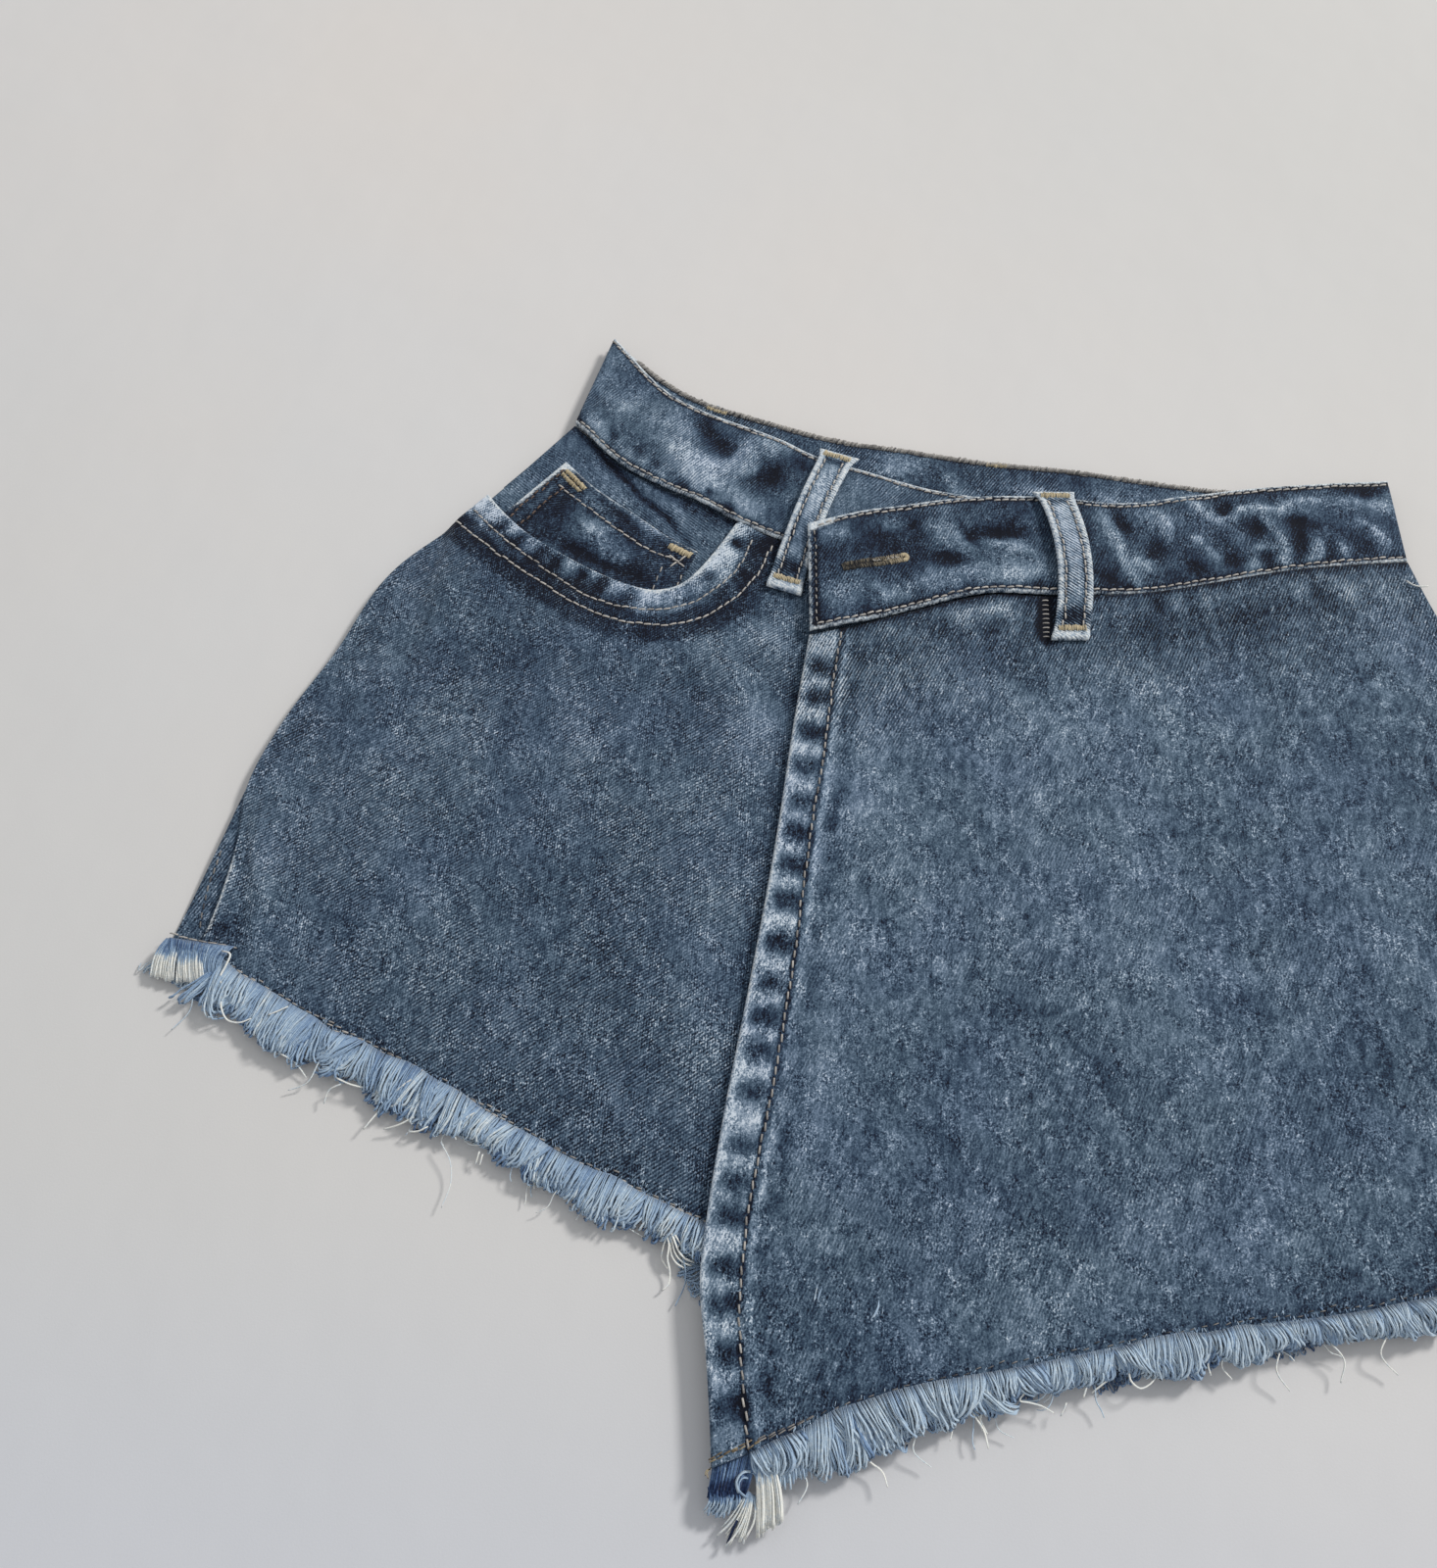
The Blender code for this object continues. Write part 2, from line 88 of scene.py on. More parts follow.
LEFT_TOP = [(-62.3, 338.4), (-48.5, 344.5), (-26.5, 353), (2, 360.6), (22, 363), (50, 364.6), (78, 372.5),
            (97, 377.8), (125, 384), (152, 389)]
YOKE_SEAM = [(-178.0, 346.5), (-144, 334), (-104, 320), (-68, 307.5), (-34, 295), (0, 284),
             (34, 290), (68, 297), (105, 304.5), (138, 311), (169.5, 318.0)]

# one gore a row: top x, top y, hem x, hem y
FRONT_RIGHT = [(-182, 340, -238.5, 149.5), (-175, 333, -230, 146), (-166, 325.5, -219, 141.5),
               (-151, 317, -200, 133), (-136, 310, -177, 125.5), (-124, 306, -155, 117.5),
               (-113, 305, -134, 109), (-103, 310.5, -114, 100.5), (-95, 324, -98, 95),
               (-88, 339.5, -86, 91.5), (-74, 334, -72, 87), (-44, 327, -44, 79),
               (-16, 322, -22, 74.5), (-0.2, 321, -9, 72.5)]
FRONT_LEFT = [(5, 317.2, 9, 72.5), (29, 319.6, 36, 78), (63, 325.7, 76, 88), (86, 333, 112, 99),
              (109, 340.7, 152, 112), (132, 346.7, 200, 128), (156, 352, 249, 139)]
BACK_RIGHT = [(-178, 346.5, -249, 151), (-144, 334, -196, 126), (-104, 320, -140, 103), (-68, 307.5, -92, 89),
              (-52, 301.6, -71, 82), (-46, 299.4, -62, 73), (-34, 295, -47, 69), (-0.2, 284, -9, 62)]
BACK_LEFT = [(0.2, 284, 9, 62), (34, 290, 44, 68), (68, 297, 88, 80.5), (105, 304.5, 138, 97.5),
             (138, 311, 193, 117), (169.5, 318, 250, 136.5)]
WRAP = [(-57, 291.8, -57, 22.5), (-42.6, 297.1, -43.5, 29.5), (-23, 305.8, -20, 42.5), (5, 317.2, 16, 55.5),
        (29, 319.6, 52, 67.3), (63, 325.7, 92, 78.2), (86, 333, 124, 86.5), (109, 340.7, 163, 99),
        (132, 346.7, 207, 112.5), (156, 352, 252, 127.5)]
FACING = [(-156, 379, -187, 330), (-132, 359, -160, 306), (-117, 352, -134, 293.5), (-103, 347, -112, 290),
          (-88, 339.5, -90, 300), (-74, 334, -76, 318)]
COIN = [(-156, 360, -177, 329.5), (-143, 349, -161, 314.5), (-127, 339, -141, 302), (-111, 329, -124, 297),
        (-101, 324.5, -110, 295)]
WRAP_EDGE_BOW = [(0, 0), (.12, 1.6), (.3, 3), (.5, 6), (.65, 8.7), (.76, 9.8), (.82, 9.5), (.9, 4.9), (.95, 2.3), (1, 0)]
POCKET_RIGHT = [(-158, 318), (-17, 269), (-63, 168), (-125, 164), (-168, 204)]
POCKET_LEFT = [(158, 306), (17, 267), (63, 167), (125, 162), (168, 200)]

Loop = namedtuple("Loop", "name x_top y_top x_end y_end z_root z_mid z_end")
LOOPS = [Loop("belt_loop_front_right", -53.5, 374.5, -68, 309.5, 6.35, 6.9, 5.75),
         Loop("belt_loop_front_left", 26.4, 364, 34, 300, 9.0, 9.6, 7.5),
         Loop("belt_loop_back_right", -110, 399, -118, 336, 0, 0, 0),
         Loop("belt_loop_back_centre", 0, 382, 0, 318, 0, 0, 0),
         Loop("belt_loop_back_left", 110, 381, 114, 318, 0, 0, 0)]


# ------------------------------------------------------------------ small maths
def sm(t):
    t = np.clip(t, 0.0, 1.0)
    return t * t * (3.0 - 2.0 * t)


def mix(a, b, t):
    return a + (b - a) * t


def bell(d, w):
    return np.exp(-(d / w) ** 2)


def _lattice(i, j, seed):
    h = (i * 374761393 + j * 668265263 + seed * 974634777) & 0xFFFFFFFF
    h = ((h ^ (h >> 13)) * 1274126177) & 0xFFFFFFFF
    return ((h ^ (h >> 16)) & 0xFFFF) / 32767.5 - 1.0


def vnoise(x, y, seed=0):
    """Smooth value noise, -1 to 1."""
    x, y = np.asarray(x, float), np.asarray(y, float)
    i, j = np.floor(x).astype(np.int64), np.floor(y).astype(np.int64)
    u, v = sm(x - i), sm(y - j)
    a, b = _lattice(i, j, seed), _lattice(i + 1, j, seed)
    c, d = _lattice(i, j + 1, seed), _lattice(i + 1, j + 1, seed)
    return mix(mix(a, b, u), mix(c, d, u), v)


def fbm(x, y, size, seed=0, octaves=3):
    total, gain, norm = 0.0, 1.0, 0.0
    for k in range(octaves):
        total = total + gain * vnoise(np.asarray(x) / size * 2 ** k + 17.3 * k, np.asarray(y) / size * 2 ** k, seed + k)
        norm += gain
        gain *= 0.5
    return total / norm


def hermite(k, pts, q, corners=()):
    """Smooth curve through pts at the knots k, read at q.  It keeps its corners."""
    k, pts, q = np.asarray(k, float), np.asarray(pts, float), np.asarray(q, float)
    if pts.ndim == 1:
        pts = pts[:, None]
    seg = np.diff(pts, axis=0) / np.diff(k)[:, None]
    start, end = seg.copy(), seg.copy()
    for i in range(1, len(k) - 1):
        if i not in corners:
            a, b = k[i] - k[i - 1], k[i + 1] - k[i]
            m = (seg[i - 1] * b + seg[i] * a) / (a + b)
            start[i] = m
            end[i - 1] = m
    i = np.clip(np.searchsorted(k, q, side="right") - 1, 0, len(k) - 2)
    h = (k[i + 1] - k[i])[..., None]
    t = ((q - k[i]) / h[..., 0])[..., None]
    t2, t3 = t * t, t * t * t
    return (pts[i] * (2 * t3 - 3 * t2 + 1) + start[i] * h * (t3 - 2 * t2 + t)
            + pts[i + 1] * (3 * t2 - 2 * t3) + end[i] * h * (t3 - t2))


class Line:
    """A smooth line on the pattern, measured along its length."""

    def __init__(self, pts, step=2.0, smooth=True, corners=()):
        pts = np.asarray(pts, float)
        if smooth and len(pts) > 2:
            k = np.concatenate([[0], np.cumsum(np.hypot(*np.diff(pts, axis=0).T))])
            n = max(8, int(k[-1] / step))
            q = np.unique(np.concatenate([np.linspace(0, k[-1], n), k[list(corners)]])) if corners else np.linspace(0, k[-1], n)
            pts = hermite(k, pts, q, corners)
        self.p = pts
        self.s = np.concatenate([[0], np.cumsum(np.hypot(*np.diff(pts, axis=0).T))])
        self.length = self.s[-1]

    def near(self, x, y, reach=1e9):
        """Distance, place along the line, and side (+1 on its left) of each point."""
        x, y = np.asarray(x, float), np.asarray(y, float)
        shape = x.shape
        px, py = x.ravel(), y.ravel()
        dist = np.full(px.shape, 1e6)
        along = np.zeros(px.shape)
        side = np.ones(px.shape)
        lo, hi = self.p.min(0) - reach, self.p.max(0) + reach
        pick = np.nonzero((px > lo[0]) & (px < hi[0]) & (py > lo[1]) & (py < hi[1]))[0]
        a, b = self.p[:-1], self.p[1:]
        ab = b - a
        ll = np.maximum((ab ** 2).sum(1), 1e-12)
        for k in range(0, len(pick), 4000):
            idx = pick[k:k + 4000]
            ax, ay = px[idx, None] - a[None, :, 0], py[idx, None] - a[None, :, 1]
            t = np.clip((ax * ab[:, 0] + ay * ab[:, 1]) / ll, 0, 1)
            dx, dy = ax - t * ab[:, 0], ay - t * ab[:, 1]
            d2 = dx * dx + dy * dy
            m = d2.argmin(1)
            r = np.arange(len(idx))
            dist[idx] = np.sqrt(d2[r, m])
            along[idx] = self.s[m] + t[r, m] * np.sqrt(ll[m])
            side[idx] = np.where(ab[m, 0] * ay[r, m] - ab[m, 1] * ax[r, m] >= 0, 1.0, -1.0)
        return dist.reshape(shape), along.reshape(shape), side.reshape(shape)

    def at(self, s):
        s = np.clip(s, 0, self.length)
        return np.stack([np.interp(s, self.s, self.p[:, 0]), np.interp(s, self.s, self.p[:, 1])], -1)

    def heading(self, s, reach=1.5):
        d = self.at(np.asarray(s) + reach) - self.at(np.asarray(s) - reach)
        return d / np.maximum(np.linalg.norm(d, axis=-1, keepdims=True), 1e-9)

    def beside(self, offset):
        """The same line moved to its left by offset."""
        t = self.heading(self.s)
        return Line(self.p + np.stack([-t[:, 1], t[:, 0]], -1) * offset, smooth=False)

    def part(self, a, b, step=2.0):
        a, b = (v if v >= 0 else self.length + v for v in (a, b))
        return Line(self.at(np.linspace(a, b, max(3, int(abs(b - a) / step)))), smooth=False)


# a crease: a soft ridge (rise > 0) or trough along an arc, with the wear that it has taken; in the facing's deep trough
# that darkening is painted shade
Crease = namedtuple("Crease", "x0 y0 x1 y1 bow width rise wear")


def creases(rows, x, y):
    x, y = np.asarray(x, float), np.asarray(y, float)
    rise, wear = np.zeros(x.shape), np.zeros(x.shape)
    x, y = x + 1.5 * fbm(x, y, 9.0, 401, 2), y + 1.5 * fbm(x, y, 9.0, 402, 2)
    for c in rows:
        dx, dy = c.x1 - c.x0, c.y1 - c.y0
        length = math.hypot(dx, dy)
        q = np.linspace(0, 1, 7)
        arc = np.stack([c.x0 + dx * q - dy / length * c.bow * 4 * q * (1 - q),
                        c.y0 + dy * q + dx / length * c.bow * 4 * q * (1 - q)], -1)
        line = Line(arc, smooth=False)
        d, s, _ = line.near(x, y, reach=3.2 * c.width)
        taper = np.sin(np.pi * np.clip(s / line.length, 0.04, 0.96)) ** 0.6
        f = bell(d, c.width) * taper
        rise += c.rise * f
        wear += c.wear * f
    return rise, wear


# ------------------------------------------------------------------ heights of the layers (mm)
def hem_y(gores, x):
    g = sorted((r[2], r[3]) for r in gores)
    return np.interp(x, [a for a, _ in g], [b for _, b in g])


def side_x(line, y):
    k = [-p[1] for p in line]
    return hermite(k, [p[0] for p in line], np.clip(-np.asarray(y, float), k[0], k[-1]))[..., 0]


def side_gap(x, y):
    return np.abs(np.where(x < 0, side_x(SIDE_RIGHT, y), side_x(SIDE_LEFT, y)) - x)


def z_back(x, y):
    x, y = np.asarray(x, float), np.asarray(y, float)
    hem = np.where(x < 0, hem_y(BACK_RIGHT, x), hem_y(BACK_LEFT, x))
    return 1.6 * sm((y - hem - 4.0) / 38.0)


def z_front(x, y):
    x, y = np.asarray(x, float), np.asarray(y, float)
    hem = np.where(x < 0, hem_y(FRONT_RIGHT, x), hem_y(FRONT_LEFT, x))
    mid = mix(2.9, 4.2, sm(side_gap(x, y) / 38.0))
    z = mix(2.5, mid, sm((y - hem) / 48.0))
    scoop = sm((x + 196.0) / 6.0) * sm((-77.0 - x) / 12.0) * sm((y - 258.0) / 24.0)
    return mix(z, 5.3, scoop)


def z_wrap(x, y):
    x, y = np.asarray(x, float), np.asarray(y, float)
    hem = np.where(x < 0, hem_y(FRONT_RIGHT, x), hem_y(FRONT_LEFT, x))
    body = mix(2.9, 4.2, sm(side_gap(x, y) / 42.0)) + 1.8
    z = mix(4.6, body, sm((y - hem) / 45.0))
    return z + 0.9 * sm((-10.0 - x) / 45.0)


def z_band_left(x, y=None):
    over = mix(8.25, 6.5, sm((x + 45.0) / 18.0))
    return mix(over, 4.0, sm((x - 32.0) / 34.0))


# ------------------------------------------------------------------ maps from (s, t) to the pattern
def knots(pts):
    k = np.concatenate([[0], np.cumsum(np.hypot(*np.diff(np.asarray(pts, float), axis=0).T))])
    return k / k[-1]


def gore_map(gores, side=None, at=0, bow=None, corners=(), gap=0.3):
    g = np.asarray(gores, float)
    k = knots((g[:, :2] + g[:, 2:]) / 2)
    width = np.hypot(*(g[0, 2:] - g[-1, 2:]))

    def S(s, t):
        s, t = np.broadcast_arrays(np.asarray(s, float), np.asarray(t, float))
        top, hem = hermite(k, g[:, :2], s, corners), hermite(k, g[:, 2:], s)
        length = np.linalg.norm(hem - top, axis=-1)
        t = mix(gap / length, 1.0, t)
        p = top + (hem - top) * t[..., None]
        if side is not None:
            e = g[0] if at == 0 else g[-1]
            ex, ey = mix(e[0], e[2], t), mix(e[1], e[3], t)
            p[..., 0] += (side_x(side, ey) - ex) * sm(1.0 - np.abs(s - at) * width / 75.0)
        if bow is not None:
            out = hermite([b[0] for b in bow], [b[1] for b in bow], t)[..., 0]
            p[..., 0] -= out * sm(1.0 - np.maximum(0.0, p[..., 0] - g[0, 0] - PLACKET_W) / 90.0)
        return p
    return S


def band_map(top, low):
    a, b = np.asarray(top, float), np.asarray(low, float)
    k = knots((a + b) / 2)

    def S(s, t):
        s, t = np.broadcast_arrays(np.asarray(s, float), np.asarray(t, float))
        p, q = hermite(k, a, s), hermite(k, b, s)
        return p + (q - p) * t[..., None]
    return S


def strip_map(x0, y0, x1, y1, width, bend=0.0):
    a, b = np.array([x0, y0], float), np.array([x1, y1], float)
    d = (b - a) / np.linalg.norm(b - a)
    n = np.array([-d[1], d[0]])

    def S(s, t):
        s, t = np.broadcast_arrays(np.asarray(s, float), np.asarray(t, float))
        c = a + (b - a) * t[..., None] + n * (bend * 4 * t * (1 - t))[..., None]
        return c + n * ((s - 0.5) * width)[..., None]
    return S


# ------------------------------------------------------------------ meshes
def build_mesh(name, co, quads, tris=None, attrs=None, material=None):
    """co is in pattern mm; faces are arrays of vertex numbers."""
    co = np.asarray(co, float)
    world = np.empty_like(co)
    world[:, 0], world[:, 1], world[:, 2] = (co[:, 0] - MX) * MM, (co[:, 1] - MY) * MM, co[:, 2] * MM
    quads = np.asarray(quads, np.int32).reshape(-1, 4)
    tris = np.zeros((0, 3), np.int32) if tris is None else np.asarray(tris, np.int32).reshape(-1, 3)
    me = bpy.data.meshes.new(name)
    me.vertices.add(len(world))
    me.vertices.foreach_set("co", world.astype(np.float32).ravel())
    loops = np.concatenate([quads.ravel(), tris.ravel()])
    me.loops.add(len(loops))
    me.loops.foreach_set("vertex_index", loops)
    starts = np.concatenate([np.arange(len(quads)) * 4, len(quads) * 4 + np.arange(len(tris)) * 3])
    me.polygons.add(len(starts))
    me.polygons.foreach_set("loop_start", starts.astype(np.int32))
    me.update(calc_edges=True)
    me.polygons.foreach_set("use_smooth", np.ones(len(starts), bool))
    for key, value in (attrs or {}).items():
        me.attributes.new(key, "FLOAT", "POINT").data.foreach_set("value", np.asarray(value, np.float32).ravel())
    me.validate()
    me.update()
    ob = bpy.data.objects.new(name, me)
    bpy.context.scene.collection.objects.link(ob)
    if material is not None:
        me.materials.append(material)
    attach(ob, "root")
    return ob


def offsets(length, head, tail, step):
    """The number of even grid steps on a side of the given length, between the fixed steps at both ends."""
    n = max(1, int(round((length - head[-1] - tail[-1]) / step)))
    return n


def grid(S, head_s, tail_s, step_s, head_t, tail_t, step_t):
    """(s, t) of a grid whose first and last lines keep their distance from the edges in mm."""
    q = np.linspace(0, 1, 60)

    def run(points):
        return np.hypot(*np.diff(points, axis=0).T).sum()
    w_mid, h_mid = run(S(q, np.full(60, .5))), run(S(np.full(60, .5), q))
    ns, nt = offsets(w_mid, head_s, tail_s, step_s), offsets(h_mid, head_t, tail_t, step_t)

    def places(length, head, tail, n):
        head, tail = np.asarray(head, float), np.asarray(tail, float)
        body = mix(head[-1], length - tail[-1], np.linspace(0, 1, n + 1)[1:-1])
        return np.concatenate([head, body, (length - tail)[::-1]]) / length
    t_nom = places(h_mid, head_t, tail_t, nt)
    s_nom = places(w_mid, head_s, tail_s, ns)
    s = np.array([places(run(S(q, np.full(60, t))), head_s, tail_s, ns) for t in t_nom])
    t = np.array([places(run(S(np.full(60, v), q)), head_t, tail_t, nt) for v in s_nom]).T
    return s, t


FINE = [0, .12, .45, 1.0, 1.7, 2.5, 3.3, 4.2, 5.2, 6.4, 7.8, 9.4, 11.2, 13.2]
EDGE = [0, .12, .45, 1.0, 2.0, 3.4, 5.2]
COARSE = [0, .15, .6, 2.0]


class Cloth:
    """A piece of cloth: its map, its heights and its looks, all read at any point of the pattern."""

    def __init__(self, name, S, z, thick, relief=None, groove=None, look=None, rim=None, inside=0.0, outer="top",
                 node=None):
        self.outer, self.node = outer, node
        self.name, self.S, self.z = name, S, z
        self.thick = thick if callable(thick) else (lambda x, y: np.full(np.shape(x), float(thick)))
        self.relief, self.groove, self.look = relief, groove, look
        self.rim, self.inside = rim, inside
        q = np.linspace(0, 1, 140)
        self.left, self.right = Line(S(np.zeros(140), q), smooth=False), Line(S(np.ones(140), q), smooth=False)
        self.top, self.hem = Line(S(q, np.zeros(140)), smooth=False), Line(S(q, np.ones(140)), smooth=False)

    def under(self, x, y):
        return self.z(x, y) + (self.relief(x, y) if self.relief else 0.0)

    def over(self, x, y):
        z = self.under(x, y) + self.thick(x, y)
        return z + (self.groove(x, y) if self.groove and self.outer == "top" else 0.0)

    def below(self, x, y):
        return self.under(x, y) - (self.groove(x, y) if self.groove and self.outer == "low" else 0.0)

    def make(self, material, head_s=EDGE, tail_s=EDGE, step_s=3.0, head_t=EDGE, tail_t=EDGE, step_t=3.0,
             cut=None, floor=None):
        s, t = grid(self.S, head_s, tail_s, step_s, head_t, tail_t, step_t)
        p = self.S(s, t)
        x, y = p[..., 0], p[..., 1]
        R, C = x.shape
        d = np.minimum(np.minimum(self.left.near(x, y)[0], self.right.near(x, y)[0]),
                       np.minimum(self.top.near(x, y)[0], self.hem.near(x, y)[0]))
        d[0, :] = d[-1, :] = 0
        d[:, 0] = d[:, -1] = 0
        th = self.thick(x, y)
        low = self.under(x, y)
        mid = low + th / 2
        r = self.rim or 0.5 * th
        prof = np.sqrt(np.clip(1 - (1 - np.clip(d / r, 0, 1)) ** 2, 0, 1))
        top = mid + th / 2 * prof
        if self.groove and self.outer == "top":
            top = top + self.groove(x, y) * prof
        top = np.maximum(top, mid + 0.12 * prof)
        bot = mid - th / 2 * prof
        if self.groove and self.outer == "low":
            bot = bot - self.groove(x, y) * prof
        if floor is not None:
            bot = np.maximum(bot, floor)
            top = np.maximum(top, bot)
        border = np.zeros((R, C), bool)
        border[0, :] = border[-1, :] = border[:, 0] = border[:, -1] = True
        number = np.arange(R * C).reshape(R, C)
        inner = ~border
        low_no = number.copy()
        low_no[inner] = R * C + np.arange(inner.sum())
        co = np.concatenate([np.stack([x, y, np.where(border, mid, top)], -1).reshape(-1, 3),
                             np.stack([x, y, bot], -1)[inner]])
        cells = np.ones((R - 1, C - 1), bool)
        if cut is not None:
            cx, cy = (x[:-1, :-1] + x[1:, 1:]) / 2, (y[:-1, :-1] + y[1:, 1:]) / 2
            cells &= ~cut(cx, cy)
        i, j = np.nonzero(cells)
        up = np.stack([number[i, j], number[i + 1, j], number[i + 1, j + 1], number[i, j + 1]], -1)
        down = np.stack([low_no[i, j], low_no[i, j + 1], low_no[i + 1, j + 1], low_no[i + 1, j]], -1)
        faces = [up, down]
        if cut is not None:
            for a, b in zip(*np.nonzero(~cells)):
                for (p0, p1), (u, v) in ((((a, b), (a + 1, b)), (a, b - 1)), (((a + 1, b), (a + 1, b + 1)), (a + 1, b)),
                                         (((a + 1, b + 1), (a, b + 1)), (a, b + 1)), (((a, b + 1), (a, b)), (a - 1, b))):
                    if cells[u, v]:
                        faces.append([[number[p0], number[p1], low_no[p1], low_no[p0]]])
        faces = np.concatenate([np.asarray(f) for f in faces])
        area = ((x[1:, :-1] - x[:-1, :-1]) * (y[1:, 1:] - y[:-1, :-1])
                - (y[1:, :-1] - y[:-1, :-1]) * (x[1:, 1:] - x[:-1, :-1])).sum()
        if area < 0:
            faces = faces[:, ::-1]
        attrs = {}
        look = self.look(x, y, self) if self.look else {}
        for key in ("wash", "worn", "twill"):
            value = np.broadcast_to(np.asarray(look.get(key, 0.0), float), x.shape)
            other = value * 0.35 + (self.inside if key == "wash" else 0.0)
            a, b = (value, other) if self.outer == "top" else (other, value)
            a = np.where(border, value, a)
            attrs[key] = np.concatenate([a.ravel(), b[inner]])
        self.ob = build_mesh(self.name, co, faces, attrs=attrs, material=material)
        if self.node:
            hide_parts(self.node)
        return self.ob


# ------------------------------------------------------------------ thread
class Threads:
    """Many threads as one mesh.  Each is a tube along its own path."""

    def __init__(self, name, sides=4):
        self.name, self.sides = name, sides
        self.co, self.quads, self.caps, self.attrs, self.n = [], [], [], {"tone": [], "along": []}, 0

    def add(self, paths, radius, tone=0.5):
        """paths (N, K, 3) in mm, radius (K,) or (N, K), tone (N,)."""
        paths = np.asarray(paths, float)
        if not len(paths):
            return
        N, K, _ = paths.shape
        m = self.sides
        radius = np.broadcast_to(np.asarray(radius, float), (N, K))
        tan = np.gradient(paths, axis=1)
        tan /= np.maximum(np.linalg.norm(tan, axis=-1, keepdims=True), 1e-9)
        up = np.array([0.0, 0.0, 1.0])
        side = np.cross(tan, up)
        size = np.linalg.norm(side, axis=-1, keepdims=True)
        side = np.where(size > 0.05, side / np.maximum(size, 1e-9), np.array([1.0, 0.0, 0.0]))
        nor = np.cross(side, tan)
        ang = np.arange(m) / m * 2 * np.pi + np.pi / m
        ring = (paths[:, :, None] + radius[:, :, None, None]
                * (np.cos(ang)[:, None] * side[:, :, None] + np.sin(ang)[:, None] * nor[:, :, None]))
        no = self.n + np.arange(N * K * m).reshape(N, K, m)
        nxt = np.roll(no, -1, axis=2)
        self.quads.append(np.stack([no[:, :-1], nxt[:, :-1], nxt[:, 1:], no[:, 1:]], -1)[..., ::-1].reshape(-1, 4))
        self.caps.append(no[:, 0, :].reshape(-1, m))
        self.caps.append(no[:, -1, ::-1].reshape(-1, m))
        self.co.append(ring.reshape(-1, 3))
        tone = np.asarray(tone, float)
        tone = tone[:, :, None] if tone.ndim == 2 else tone.reshape(-1, 1, 1)
        self.attrs["tone"].append(np.broadcast_to(tone, (N, K, m)).ravel())
        self.attrs["along"].append(np.broadcast_to(np.linspace(0, 1, K)[None, :, None], (N, K, m)).ravel())
        self.n += N * K * m

    def make(self, material):
        caps = np.concatenate(self.caps)
        quads = np.concatenate(self.quads)
        tris = None
        if self.sides == 3:
            tris = caps
        else:
            quads = np.concatenate([quads, caps])
        return build_mesh(self.name, np.concatenate(self.co), quads, tris,
                          {k: np.concatenate(v) for k, v in self.attrs.items()}, material)


def stitch_row(threads, line, over, pitch=3.3, share=0.70, radius=0.29, tone=0.5, start=1.0, stop=1.0, wobble=0.12,
               rise=0.16, flip=False):
    """A row of lockstitch along a line: each stitch comes up, lies on the cloth and goes down."""
    n = int((line.length - start - stop) / pitch)
    if n < 1:
        return
    s0 = start + np.arange(n) * (line.length - start - stop) / n
    real = (line.length - start - stop) / n
    q = np.array([0.0, 0.12, 0.38, 0.62, 0.88, 1.0])
    lift = np.array([-0.42, 0.02, rise, rise, 0.02, -0.42])
    s = s0[:, None] + real * (1 - share) / 2 + real * share * q[None, :]
    p = line.at(s)
    h = line.heading(s)
    off = rng.normal(0, wobble, (n, 1)) + np.linspace(-0.5, 0.5, 6)[None, :] * rng.normal(0.30, 0.14, (n, 1))
    x = p[..., 0] - h[..., 1] * off
    y = p[..., 1] + h[..., 0] * off
    z = over(x, y)
    z = z - lift if flip else np.maximum(z, z.mean(1, keepdims=True) - 0.3) + lift
    threads.add(np.stack([x, y, z], -1), radius * np.array([0.55, 0.95, 1.0, 1.0, 0.95, 0.55]),
                np.clip(tone + rng.normal(0, 0.16, n), 0, 1))


def satin(threads, x0, y0, x1, y1, width, over, pitch=0.50, radius=0.27, tone=0.8, rise=0.35, lean=0.0, flip=False):
    """A bar tack or a buttonhole's side: threads across the line from (x0, y0) to (x1, y1)."""
    length = math.hypot(x1 - x0, y1 - y0)
    dx, dy = (x1 - x0) / length, (y1 - y0) / length
    n = max(3, int(length / pitch))
    s = (np.arange(n) + 0.5) * length / n
    q = np.array([-0.5, -0.42, -0.2, 0.2, 0.42, 0.5])
    w = width * (1 + rng.normal(0, 0.11, (n, 1)))
    across = q[None, :] * w + rng.normal(0, 0.13, (n, 1))
    along = s[:, None] + lean * q[None, :] + rng.normal(0, 0.07, (n, 1)) + q[None, :] * rng.normal(0, 0.22, (n, 1))
    x, y = x0 + dx * along - dy * across, y0 + dy * along + dx * across
    cx, cy = x0 + dx * s[:, None], y0 + dy * s[:, None]
    lift = rise * np.array([-1.2, 0.25, 1.0, 1.0, 0.25, -1.2]) + rng.normal(0, 0.05, (n, 1))
    z = over(cx, cy) + (-lift if flip else lift)
    threads.add(np.stack([x, y, z], -1), radius, np.clip(tone + rng.normal(0, 0.17, n), 0, 1))


# ------------------------------------------------------------------ materials
def lin(r, g, b):
    def one(v):
        v /= 255.0
        return v / 12.92 if v <= 0.04045 else ((v + 0.055) / 1.055) ** 2.4
    return (one(r), one(g), one(b), 1.0)


